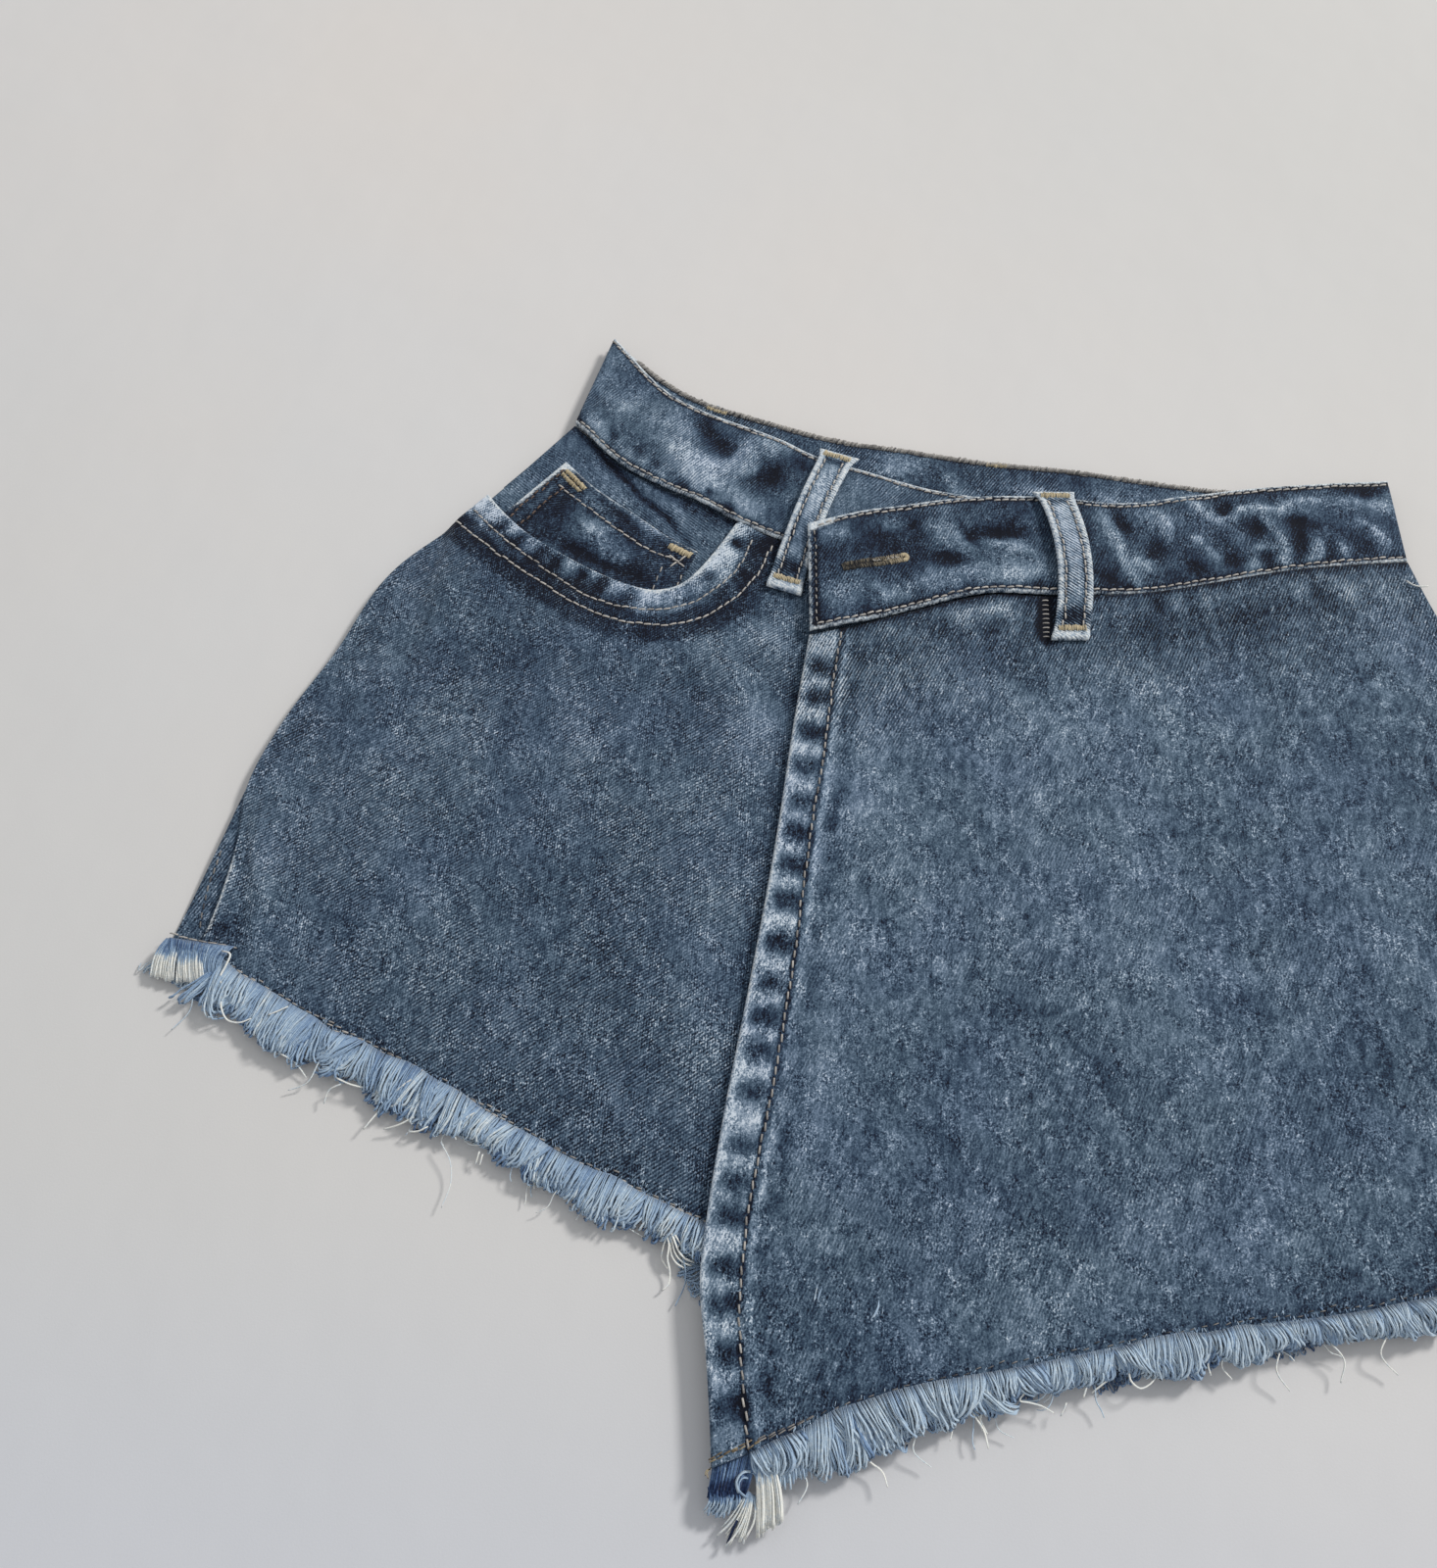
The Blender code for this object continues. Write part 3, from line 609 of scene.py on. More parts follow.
class Nodes:
    """Short words for building a material's nodes."""

    def __init__(self, name):
        self.mat = bpy.data.materials.new(name)
        self.mat.use_nodes = True
        self.t = self.mat.node_tree
        self.t.nodes.clear()
        self.x = 0

    def node(self, kind, **values):
        n = self.t.nodes.new(kind)
        n.location = (self.x, -200 * (len(self.t.nodes) % 7))
        self.x += 60
        for k, v in values.items():
            setattr(n, k, v)
        return n

    def put(self, sock, value):
        if isinstance(value, bpy.types.NodeSocket):
            self.t.links.new(value, sock)
        elif value is not None:
            sock.default_value = value

    def math(self, op, a, b=None, c=None, clamp=False):
        n = self.node("ShaderNodeMath", operation=op, use_clamp=clamp)
        for sock, v in zip(n.inputs, (a, b, c)):
            self.put(sock, v)
        return n.outputs[0]

    def add(self, *parts):
        total = parts[0]
        for p in parts[1:]:
            total = self.math("ADD", total, p)
        return total

    def mul(self, a, b):
        return self.math("MULTIPLY", a, b)

    def place(self, scale=(1, 1, 1), turn=0.0, shift=(0, 0, 0)):
        """Object coordinates in millimetres, turned about Z, then scaled."""
        if not hasattr(self, "coord"):
            self.coord = self.node("ShaderNodeTexCoord").outputs["Object"]
        turned = self.coord
        if turn:
            key = "turn%.4f" % turn
            if not hasattr(self, key):
                m = self.node("ShaderNodeMapping")
                self.put(m.inputs["Vector"], self.coord)
                m.inputs["Rotation"].default_value = (0, 0, turn)
                setattr(self, key, m.outputs[0])
            turned = getattr(self, key)
        m = self.node("ShaderNodeMapping")
        self.put(m.inputs["Vector"], turned)
        m.inputs["Scale"].default_value = tuple(1000.0 * v for v in scale)
        m.inputs["Location"].default_value = shift
        return m.outputs[0]

    def noise(self, where, detail=2.0, rough=0.5, distort=0.0):
        n = self.node("ShaderNodeTexNoise")
        self.put(n.inputs["Vector"], where)
        n.inputs["Scale"].default_value = 1.0
        n.inputs["Detail"].default_value = detail
        n.inputs["Roughness"].default_value = rough
        n.inputs["Distortion"].default_value = distort
        return n.outputs["Fac"]

    def attr(self, name):
        return self.node("ShaderNodeAttribute", attribute_name=name).outputs["Fac"]

    def remap(self, v, a, b, c=0.0, d=1.0, smooth=False):
        n = self.node("ShaderNodeMapRange", interpolation_type="SMOOTHSTEP" if smooth else "LINEAR")
        self.put(n.inputs["Value"], v)
        for k, value in zip(("From Min", "From Max", "To Min", "To Max"), (a, b, c, d)):
            self.put(n.inputs[k], value)
        return n.outputs[0]

    def ramp(self, fac, stops):
        n = self.node("ShaderNodeValToRGB")
        self.put(n.inputs[0], fac)
        el = n.color_ramp.elements
        while len(el) < len(stops):
            el.new(0.5)
        for e, (at, colour) in zip(el, stops):
            e.position = at
            e.color = colour
        return n.outputs[0]

    def blend(self, fac, a, b, mode="MIX"):
        n = self.node("ShaderNodeMix", data_type="RGBA", blend_type=mode)
        self.put(n.inputs["Factor"], fac)
        self.put(n.inputs["A"], None)
        for sock in n.inputs:
            if sock.type == "RGBA" and sock.name == "A":
                self.put(sock, a)
            if sock.type == "RGBA" and sock.name == "B":
                self.put(sock, b)
        return [o for o in n.outputs if o.type == "RGBA"][0]

    def finish(self, colour, rough, bumps=(), sheen=0.0, specular=0.25, sheen_rough=0.5):
        out = self.node("ShaderNodeOutputMaterial")
        bsdf = self.node("ShaderNodeBsdfPrincipled")
        self.put(bsdf.inputs["Base Color"], colour)
        self.put(bsdf.inputs["Roughness"], rough)
        bsdf.inputs["Specular IOR Level"].default_value = specular
        bsdf.inputs["Sheen Weight"].default_value = sheen
        bsdf.inputs["Sheen Roughness"].default_value = sheen_rough
        normal = None
        for height, depth in bumps:
            b = self.node("ShaderNodeBump")
            b.inputs["Strength"].default_value = 1.0
            b.inputs["Distance"].default_value = depth * MM
            self.put(b.inputs["Height"], height)
            if normal is not None:
                self.put(b.inputs["Normal"], normal)
            normal = b.outputs[0]
        if normal is not None:
            self.put(bsdf.inputs["Normal"], normal)
        self.t.links.new(bsdf.outputs[0], out.inputs[0])
        return self.mat


# the indigo scale, from dark dye to the washed white of the weft
INDIGO = [(0.00, lin(7, 11, 25)), (0.12, lin(23, 32, 51)), (0.30, lin(46, 64, 83)), (0.48, lin(79, 98, 115)),
          (0.66, lin(115, 133, 151)), (0.82, lin(160, 175, 189)), (1.00, lin(212, 221, 229))]


def denim(name, lean=70.0, tone=0.5, cloud=1.0, blotch=1.0, mottle=1.0, salt=1.0, streak=1.0, line=1.0, seed=0.0,
          twist=0.0, fret=.5, ends=.5):
    """Washed denim.  lean is the angle of the twill's lines, in degrees; twist is how much they wander."""
    m = Nodes(name)
    g = math.radians(lean)
    sh = (seed * 13.7, seed * 7.9, seed * 3.1)
    clouds = m.noise(m.place((.030, .026, .030), .3, sh), 2, .55, .8)
    patches = m.noise(m.place((.115, .085, .115), .2, sh), 2, .6, 1.0)
    mott = m.noise(m.place((.42, .20, .36), .15, sh), 2, .65, .4)
    # the weave shows strongly in slanting patches and is fulled smooth between them
    crisp = m.remap(m.noise(m.place((.06, .17, .12), .72, sh), 2, .6, .8), .40, .62, .60, 1.25, True)
    where_lines = m.add(m.remap(m.noise(m.place((.028, .034, .03), .9, sh), 1, .5), .40, .60, .25, 1.15, True),
                        m.attr("twill"))
    # yarns that have lost their dye: short strokes on two slants
    one = m.noise(m.place((.62, 1.55, .9), .62 - g, sh), 1, .7)
    two = m.noise(m.place((.70, 1.70, .9), -.62 - g, sh), 1, .7)
    dots = m.noise(m.place((1.35, 1.15, 1.2), -g, sh), 1, .6)
    grit = m.noise(m.place((2.5, 2.1, 2.1), -g, sh), 0, .6)
    warp = m.noise(m.place((.85, .09, .5), -.05, sh), 1, .6)
    wobble = m.noise(m.place((.06, .06, .06), 0, sh), 1, .5)
    # twill lines, broken where the yarn thins
    where = m.place((1, 1, 1), -g)
    sep = m.node("ShaderNodeSeparateXYZ")
    m.put(sep.inputs[0], where)
    phase = m.add(m.mul(sep.outputs["Y"], 2 * math.pi / 1.02), m.mul(wobble, 7.0 + twist))
    wave = m.math("SINE", phase)
    dash = m.noise(m.place((.42, 1.2, 1.0), -g, sh), 1, .6)
    diag = m.mul(m.mul(wave, m.remap(dash, .34, .62, 0.15, 1.0)), where_lines)
    # the warp's ends, upright rows of points
    upright = m.node("ShaderNodeSeparateXYZ")
    m.put(upright.inputs[0], m.place((1, 1, 1), -.05))
    point = m.noise(m.place((.9, 1.5, 1.0), -.05, sh), 1, .6)
    rank = m.mul(m.math("SINE", m.add(m.mul(upright.outputs["X"], 2 * math.pi / .80), m.mul(wobble, 5.0))),
                 m.remap(point, .40, .62, 0.0, 1.0))

    wash, worn = m.attr("wash"), m.attr("worn")

    def centred(v, amount):
        return m.mul(m.math("SUBTRACT", v, 0.5), amount)
    fibre = m.add(m.math("MAXIMUM", one, two), -.08)
    fine = m.add(centred(fibre, .95 * salt), centred(dots, .58 * salt), centred(grit, .52 * salt))
    fine = m.add(m.mul(m.add(fine, m.mul(m.math("MAXIMUM", fine, 0.0), .15), m.mul(rank, .12 * ends)), crisp),
                 m.mul(diag, .13 * line))
    detail = m.add(fine, centred(mott, .50 * mottle), centred(warp, .22 * streak))
    # wear is strongest where the yarns stand up, so its borders break along the weave
    broken = m.add(wash, m.mul(m.math("ABSOLUTE", wash), m.mul(detail, fret)))
    w = m.add(centred(clouds, .34 * cloud), centred(patches, .42 * blotch), detail, broken, tone)
    colour = m.ramp(m.math("MAXIMUM", w, 0.0), INDIGO)
    tint = m.noise(m.place((.03, .03, .03), 0, sh), 2, .5)
    colour = m.blend(m.remap(tint, .42, .64, 0.0, 0.20), colour,
                     m.blend(1.0, colour, lin(186, 196, 232), "MULTIPLY"))
    white = m.blend(m.remap(dots, .35, .65), lin(168, 182, 194), lin(226, 229, 228))
    colour = m.blend(m.remap(m.add(worn, m.mul(detail, .55)), .26, .86, 0, 1, True), colour, white)
    height = m.add(m.mul(dots, .5), m.mul(fibre, .3), m.mul(diag, .35), m.mul(mott, .6))
    return m.finish(colour, m.remap(dots, .2, .8, .80, .96), [(height, .22)], sheen=.08, specular=.16)


def thread_material(name, low, high, dark, shine=0.3):
    m = Nodes(name)
    tone, along = m.attr("tone"), m.attr("along")
    fine = m.noise(m.place((2.4, 2.4, 2.4)), 2, .6)
    colour = m.blend(m.add(m.mul(tone, .8), m.mul(m.math("SUBTRACT", fine, .5), .7)), low, high)
    # painted shade: a thread is darker where it goes down into the cloth, in the shadow of its hole
    ends = m.math("ABSOLUTE", m.math("SUBTRACT", along, .5))
    colour = m.blend(m.remap(ends, .36, .5, 0, .80, True), colour, dark)
    return m.finish(colour, .62, [(fine, .08)], sheen=.1, specular=shine)


def fray_material(name):
    m = Nodes(name)
    tone, along = m.attr("tone"), m.attr("along")
    fine = m.noise(m.place((1.6, 1.6, 1.6)), 2, .6)
    crimp = m.noise(m.place((.9, .9, .9), .6, (4, 2, 1)), 2, .6)
    v = m.add(tone, m.mul(m.math("SUBTRACT", fine, .5), .30), m.mul(m.math("SUBTRACT", crimp, .5), .30))
    colour = m.ramp(v, [(0.0, lin(26, 40, 74)), (.18, lin(64, 88, 126)), (.40, lin(112, 140, 174)),
                        (.62, lin(158, 182, 206)), (.80, lin(190, 207, 220)), (1.0, lin(242, 241, 233))])
    colour = m.blend(m.remap(along, 0, .12, .40, 0, True), colour, lin(66, 88, 120))
    return m.finish(colour, .85, [(fine, .12)], sheen=.2, specular=.15)


MAT = {
    "wrap": denim("denim_wrap", lean=70, tone=.455, cloud=.8, blotch=.85, mottle=1.25, salt=.95, line=.65, seed=1),
    "leg": denim("denim_leg", lean=39, tone=.435, cloud=.8, salt=1.12, mottle=.8, blotch=.8, line=1.25, ends=1.7, seed=2),
    "back": denim("denim_back", lean=66, tone=.40, blotch=.7, line=1.6, seed=3),
    "yoke": denim("denim_yoke", lean=66, tone=.39, blotch=.7, line=1.6, seed=4),
    "pocket": denim("denim_pocket", lean=72, tone=.38, blotch=.7, line=1.6, seed=5),
    "facing": denim("denim_facing", lean=-32, tone=.45, cloud=.8, blotch=.5, salt=.8, seed=6, line=1.1, twist=10),
    "coin": denim("denim_coin", lean=14, tone=.245, blotch=1.2, salt=1.0, line=1.2, seed=7, twist=8),
    "band_right": denim("denim_band_right", lean=50, tone=.395, blotch=.6, mottle=.7, salt=.8, line=1.4, seed=8, twist=22),
    "band_left": denim("denim_band_left", lean=70, tone=.25, blotch=.7, mottle=.8, salt=.90, line=1.3, seed=9),
    "band_back": denim("denim_band_back", lean=60, tone=.34, blotch=.7, line=1.8, seed=10),
    "loop": denim("denim_loop", lean=-30, tone=.60, cloud=.6, blotch=.9, mottle=.9, salt=.7, line=2.8, seed=11),
    # each thread's third colour is the painted shade at its ends, where it goes down into the cloth
    "stitch": thread_material("thread_tan", lin(58, 56, 60), lin(212, 206, 197), lin(14, 16, 26)),
    "tack": thread_material("thread_gold", lin(96, 80, 58), lin(216, 200, 164), lin(52, 42, 34), .4),
    "purl": thread_material("thread_purl", lin(24, 23, 24), lin(188, 174, 146), lin(14, 14, 20)),
    # near-black, for the buttonhole's slit: painted shade
    "slit": thread_material("thread_slit", lin(12, 12, 20), lin(34, 32, 34), lin(10, 10, 14)),
    "rust": thread_material("thread_rust", lin(62, 52, 50), lin(146, 120, 100), lin(24, 24, 32)),
    "fray": fray_material("fray_threads"),
}
# ------------------------------------------------------------------ lines on the pattern
S_WRAP = gore_map(WRAP, SIDE_LEFT, 1, WRAP_EDGE_BOW)
S_LEG = gore_map(FRONT_RIGHT, SIDE_FRONT_RIGHT, 0, corners=(9,))
S_LEG_LEFT = gore_map(FRONT_LEFT, SIDE_LEFT, 1)
S_BACK_R = gore_map(BACK_RIGHT, SIDE_RIGHT, 0)
S_BACK_L = gore_map(BACK_LEFT, SIDE_LEFT, 1)
S_FACING = gore_map(FACING)
S_COIN = gore_map(COIN)
S_BAND_R, S_BAND_L, S_BAND_B = band_map(RIGHT_TOP, RIGHT_SEAM), band_map(LEFT_TOP, LEFT_SEAM), band_map(BACK_TOP, BACK_SEAM)
_half = len(BACK_SEAM) // 2
S_YOKE_R = gore_map([(a[0], a[1], b[0], b[1]) for a, b in zip(BACK_SEAM[:_half], YOKE_SEAM[:_half])]
                    + [(-0.2, 338, -0.2, 284)])
S_YOKE_L = gore_map([(0.2, 338, 0.2, 284)]
                    + [(a[0], a[1], b[0], b[1]) for a, b in zip(BACK_SEAM[_half + 1:], YOKE_SEAM[_half + 1:])])

PLACKET_ROW = Line([(-45.8, 295), (-46.8, 275), (-47.6, 240), (-49.0, 212), (-49.4, 189), (-49.8, 170), (-50.5, 154),
                    (-51.6, 133), (-53.8, 108), (-55.0, 89), (-54.9, 73), (-53.2, 56), (-50.2, 40), (-47.4, 27)])
SCOOP_EDGE = Line([(-182, 339.5), (-166, 325.5), (-151, 317), (-136, 310), (-124, 306), (-113, 305), (-103, 310.5),
                   (-95, 324), (-88, 338.5)])
SCOOP_IN = Line([(-187, 332.5), (-173, 321), (-157, 310), (-145, 302.5), (-134, 297.5), (-123, 295.6), (-112, 296.2),
                 (-102, 299.5), (-93, 307), (-86, 317), (-81.5, 333)])
SCOOP_OUT = Line([(-191.5, 326), (-173, 313), (-156, 303), (-144, 296.2), (-133, 291.6), (-121, 289.4), (-110, 289.6),
                  (-98, 293.5), (-87, 302.5), (-79, 315), (-74, 331.5)])
COIN_ROW = Line([(-158, 349), (-145, 339.5), (-131, 330), (-118, 322.5), (-106, 318.5)])


def rope(line, x, y, reach, centres, size, lean=0.0, seat=0.52, spread=0.34):
    """Dark ovals that a roped, felled edge takes between its edge (line) and its stitching: 0 to 1."""
    d, a, _ = line.near(x, y, reach=reach * 1.6)
    f = np.zeros(np.shape(x))
    for k, (c, strength) in enumerate(centres):
        f = np.maximum(f, strength * np.exp(-((a - c - lean * (d / reach - 0.5) * size) / size) ** 2
                                            - ((d / reach - seat) / spread) ** 4))
    return f, d, a


def every(first, last, pitch, seed, jitter=0.16, low=0.55):
    r = np.random.default_rng(seed)
    n = int((last - first) / pitch)
    at = first + (np.arange(n) + 0.5) * (last - first) / n + r.normal(0, pitch * jitter, n)
    return list(zip(at, r.uniform(low, 1.0, n)))


def groove_of(rows):
    """rows: (line, width, depth); troughs that the stitching pulls."""
    def f(x, y):
        total = np.zeros(np.shape(x))
        for line, width, depth in rows:
            d, a, _ = line.near(x, y, reach=width * 3)
            total -= depth * bell(d, width) * (0.8 + 0.2 * np.sin(a * 2 * np.pi / 3.3))
        return total
    return f


def along_rows(rows, x, y, dark=-.20, width=1.5):
    """Dye stays dark in the grooves beside stitching."""
    f = np.zeros(np.shape(x))
    for line in rows:
        d, a, _ = line.near(x, y, reach=width * 3.2)
        f = np.minimum(f, dark * bell(d, width) * (0.75 + 0.35 * vnoise(a / 5.0, d * 0, 11)))
    return f


# ------------------------------------------------------------------ looks of the pieces
PLACKET_OVALS = every(8, 262, 12.3, 5, .10, .84)
SCOOP_OVALS = every(3, 118, 8.6, 8, .16, .5)
LEG_CREASES = [
    Crease(-239, 204, -224, 146, 2.0, 2.6, -0.9, -.10),
    Crease(-236, 204, -219, 147, 2.5, 4.0, 0.7, .07),
    Crease(-96, 292, -70, 300, 3.0, 3.4, -0.5, -.14),
    Crease(-88.6, 328, -86.6, 330, 0.0, 3.0, -0.1, -.62),
    Crease(-96.0, 312, -93.6, 315, 0.0, 2.4, -0.1, -.50),
    Crease(-84.0, 313, -81.6, 318, 0.0, 2.6, -0.1, -.50),
    Crease(-79.6, 326, -78.6, 333, 0.0, 2.6, -0.1, -.50),
    Crease(-104, 301, -98, 304, 0.0, 2.2, -0.1, -.46),
    Crease(-84, 296, -60, 286, -3.0, 4.5, 0.6, .14),
    Crease(-78, 282, -58, 262, 3.0, 4.0, -0.45, -.06),
    Crease(-98, 286, -66, 246, 4.0, 6.0, 0.5, .08),
    Crease(-150, 262, -84, 196, 8.0, 12.0, 0.7, .03),
    Crease(-214, 262, -150, 160, -9.0, 14.0, 0.8, .02),
    Crease(-186, 282, -140, 270, -4.0, 7.0, -0.5, -.06),
    Crease(-90, 180, -66, 110, 4.0, 10.0, 0.6, .03),
    Crease(-128, 150, -92, 118, 4.0, 8.0, -0.4, -.03),
    # worn edge and dark blots of the pocket opening
    Crease(-85, 338, -96, 318, 1.2, 2.8, 0.20, 0.30),
    Crease(-96, 317, -107, 308, -0.5, 2.6, 0.20, 0.26),
    Crease(-89, 331, -86, 327, 0.0, 2.2, -0.30, -0.50),
    Crease(-96, 326, -100, 321, 0.0, 1.8, -0.10, -0.30),
    Crease(-94, 314, -88, 312, 0.0, 2.6, 0.20, 0.22),
    Crease(-70, 329, -64, 312, 0.0, 4.0, -0.30, -0.22),
    Crease(-74, 294, -66, 290, 0.0, 5.0, 0.15, 0.10),
    Crease(-74, 269, -63, 266, 0.0, 6.0, -0.20, -0.10),
    Crease(-187, 336, -177, 328, 0.0, 3.2, 0.10, 0.34),
    Crease(-185, 301, -163, 282, 3.0, 11.0, -0.20, -0.10),
    Crease(-164, 291, -121, 284, 4.0, 9.0, 0.20, 0.05),
    Crease(-245, 160, -228, 157, 0.0, 4.5, 0.0, -0.22),
]
WRAP_CREASES = [
    Crease(-26, 290, 10, 262, 4.0, 8.0, 0.5, .05),
    Crease(10, 306, 30, 268, -3.0, 6.0, -0.4, -.06),
    Crease(44, 312, 60, 276, 3.0, 8.0, 0.5, .05),
    Crease(96, 322, 112, 280, 3.0, 9.0, 0.5, .05),
    Crease(-38, 150, 20, 96, 6.0, 14.0, 0.6, -.03),
    Crease(40, 230, 96, 120, -10.0, 18.0, 0.8, .04),
    Crease(120, 240, 170, 140, -6.0, 16.0, 0.8, .03),
    Crease(-30, 240, -12, 176, 3.0, 10.0, 0.5, .04),
    Crease(150, 320, 190, 250, 5.0, 10.0, 0.6, .05),
    # under the waistband: gathers, worn ridges, and the unworn cloth between them
    Crease(-16, 305, 17, 311, 0.6, 3.2, 0.20, 0.26),
    Crease(-32, 298, -27, 293, 0.0, 2.2, 0.30, 0.18),
    Crease(8, 315, 14, 304, 0.0, 3.0, 0.20, 0.16),
    Crease(-3, 309, -1, 297, 0.0, 3.2, 0.20, 0.14),
    Crease(70, 325, 73, 314, 0.0, 2.2, 0.45, 0.26),
    Crease(81, 327, 83, 318, 0.0, 2.2, 0.45, 0.24),
    Crease(88, 329, 90, 322, 0.0, 2.0, 0.35, 0.16),
    Crease(115, 336, 117, 328, 0.0, 3.0, 0.30, 0.22),
    Crease(130, 340, 134, 328, 0.5, 2.6, 0.45, 0.26),
    Crease(143, 344, 148, 332, 0.0, 3.0, 0.30, 0.18),
    Crease(44, 313, 68, 310, 0.0, 12.0, -0.10, -0.15),
    Crease(74, 319, 113, 319, 0.0, 12.0, -0.10, -0.15),
    Crease(17, 296, 29, 281, 0.0, 9.0, -0.10, -0.10),
    Crease(-38, 293, -17, 290, 0.0, 7.0, 0.00, -0.10),
    Crease(75, 326, 79, 315, 0.0, 2.4, -0.35, -0.18),
    Crease(65, 324, 69, 313, 0.0, 2.4, -0.35, -0.18),
    Crease(122, 336, 126, 326, 0.0, 3.0, -0.30, -0.16),
    Crease(25.2, 319, 26.0, 298, 0.0, 2.7, -0.30, -0.62),
    Crease(4, 278, 44, 259, 6.0, 20.0, 0.20, 0.05),
    Crease(64, 285, 104, 282, 0.0, 18.0, 0.20, 0.05),
]


def waves(x, y, seed, big=0.45, small=0.16):
    return big * fbm(x, y, 85, seed, 2) + small * fbm(x, y, 26, seed + 9, 2)


leg = Cloth("panel_leg_front_right", S_LEG, z_front, 1.0)
leg.node = "leg_front_right"
LEG_HEM_ROW = leg.hem.beside(1.6)
LEG_ROWS = [SCOOP_IN, SCOOP_OUT, LEG_HEM_ROW]
leg_groove = groove_of([(SCOOP_IN, .9, .34), (SCOOP_OUT, .9, .34), (LEG_HEM_ROW, .8, .25)])


def leg_relief(x, y):
    edge = np.minimum(leg.left.near(x, y, 30)[0], leg.hem.near(x, y, 30)[0])
    d, a, _ = SCOOP_EDGE.near(x, y, 30)
    keep = sm(np.minimum(edge, 24) / 22.0)
    r, _ = creases(LEG_CREASES, x, y)
    ovals, d2, _ = rope(SCOOP_EDGE, x, y, 11.0, SCOOP_OVALS, 3.0)
    return waves(x, y, 3) * keep * sm(np.minimum(d, 30) / 24.0) + r - 0.28 * ovals


def leg_look(x, y, piece):
    _, wear = creases(LEG_CREASES, x, y)
    wash = wear + along_rows([SCOOP_IN, SCOOP_OUT], x, y, -.34, 1.2)
    ovals, d, a = rope(SCOOP_EDGE, x, y, 11.0, SCOOP_OVALS, 2.7, spread=.46)
    inside = np.where((y > 280) & (x > -198) & (x < -70), 1.0, 0.0)
    felled = inside * sm((12.5 - d) / 3.0)
    right = sm((a - 62) / 14)
    left_end = sm((26 - a) / 16)
    blots = vnoise(a / 5.2, d / 7.0, 31)
    ridge = np.clip(1 - 1.5 * ovals, 0, 1) * bell(d - 2.2, 3.6) * (1 - .6 * right)
    wash = wash + felled * (-.24 + .46 * right + .40 * left_end - .42 * ovals * (1 - .5 * right) + .18 * blots + .56 * ridge)
    d_out = SCOOP_OUT.near(x, y, 14)[0]
    between = inside * sm((8.0 - d_out) / 2.0) * (1 - felled)
    wash = wash - .33 * between * (1 - .3 * right)
    worn = inside * bell(d, 1.0 + 1.5 * right + .8 * left_end) * (.62 + .26 * right + .20 * left_end
                                                                  + .30 * vnoise(a / 4.0, 0, 5))
    hem = piece.hem.near(x, y, 14)[0]
    wash = wash - .14 * bell(hem - 1.8, 2.0) - .02 * bell(hem - 8, 6.0)
    left = piece.left.near(x, y, 20)[0]
    wash = wash + .10 * bell(left, 2.0) * sm((300 - y) / 30)
    worn = worn + .25 * bell(left, .8) + .50 * bell(left - .5, 1.1) * sm((190 - y) / 10) * sm((y - 153) / 6)
    # painted shade: darker just under the waistband's edge and beside the wrap's edge, where they shade the leg
    top = piece.top.near(x, y, 20)[0] + np.where(x < -86, 60, 0)
    wash = wash - .22 * bell(top, 4.0)
    wash = wash + .07 * fbm(x, y, 34, 21, 2) - .12 * bell(wrap.left.near(x, y, 30)[0] - 2.0, 3.8)
    wash = wash + .17 * bell(x + 70, 11) * bell(y - 247, 17) + .07 * bell(x + 74, 14) * bell(y - 190, 40)
    wash = wash - .05 * sm((y - 236) / 40) * (1 - felled)
    return {"wash": wash, "worn": worn, "twill": .45}


leg.relief, leg.groove, leg.look = leg_relief, leg_groove, leg_look

leg_left = Cloth("panel_leg_front_left", S_LEG_LEFT, z_front, 1.0, look=lambda x, y, c: {"wash": -.05 + .06 * fbm(x, y, 30, 2, 2)})
leg_left.node = "leg_front_left"

wrap = Cloth("panel_wrap", S_WRAP, z_wrap, 1.0)
wrap.node = "wrap_panel"
WRAP_HEM_ROW = wrap.hem.beside(1.7)
wrap_groove_rows = groove_of([(PLACKET_ROW, .95, .40), (WRAP_HEM_ROW, .8, .25)])


def wrap_thick(x, y):
    d, a, _ = wrap_edge.near(x, y, 24)
    return mix(PLACKET_T, DENIM, sm((d - 12.6) / 1.8))


wrap_edge = wrap.left
wrap.thick = wrap_thick


def wrap_relief(x, y):
    d, a, _ = wrap_edge.near(x, y, 40)
    d = np.minimum(d, 40)
    hem = np.minimum(wrap.hem.near(x, y, 30)[0], 30)
    r, _ = creases(WRAP_CREASES, x, y)
    ovals, _, _ = rope(wrap_edge, x, y, 12.2, PLACKET_OVALS, 4.2)
    own = waves(x, y, 31, .5, .16) * sm(hem / 24) * sm(d / 36) + r * sm(hem / 10) - .38 * ovals
    # the folded edge stands a little off the leg, and the corner lies down
    own = own - 1.1 * bell(d, 18) * sm((y - 50) / 60)
    legs = np.where(x < 0, z_front(x, y) + leg_relief(x, y), z_front(x, y)) + 1.0
    return np.maximum(own, legs + 0.3 - z_wrap(x, y))


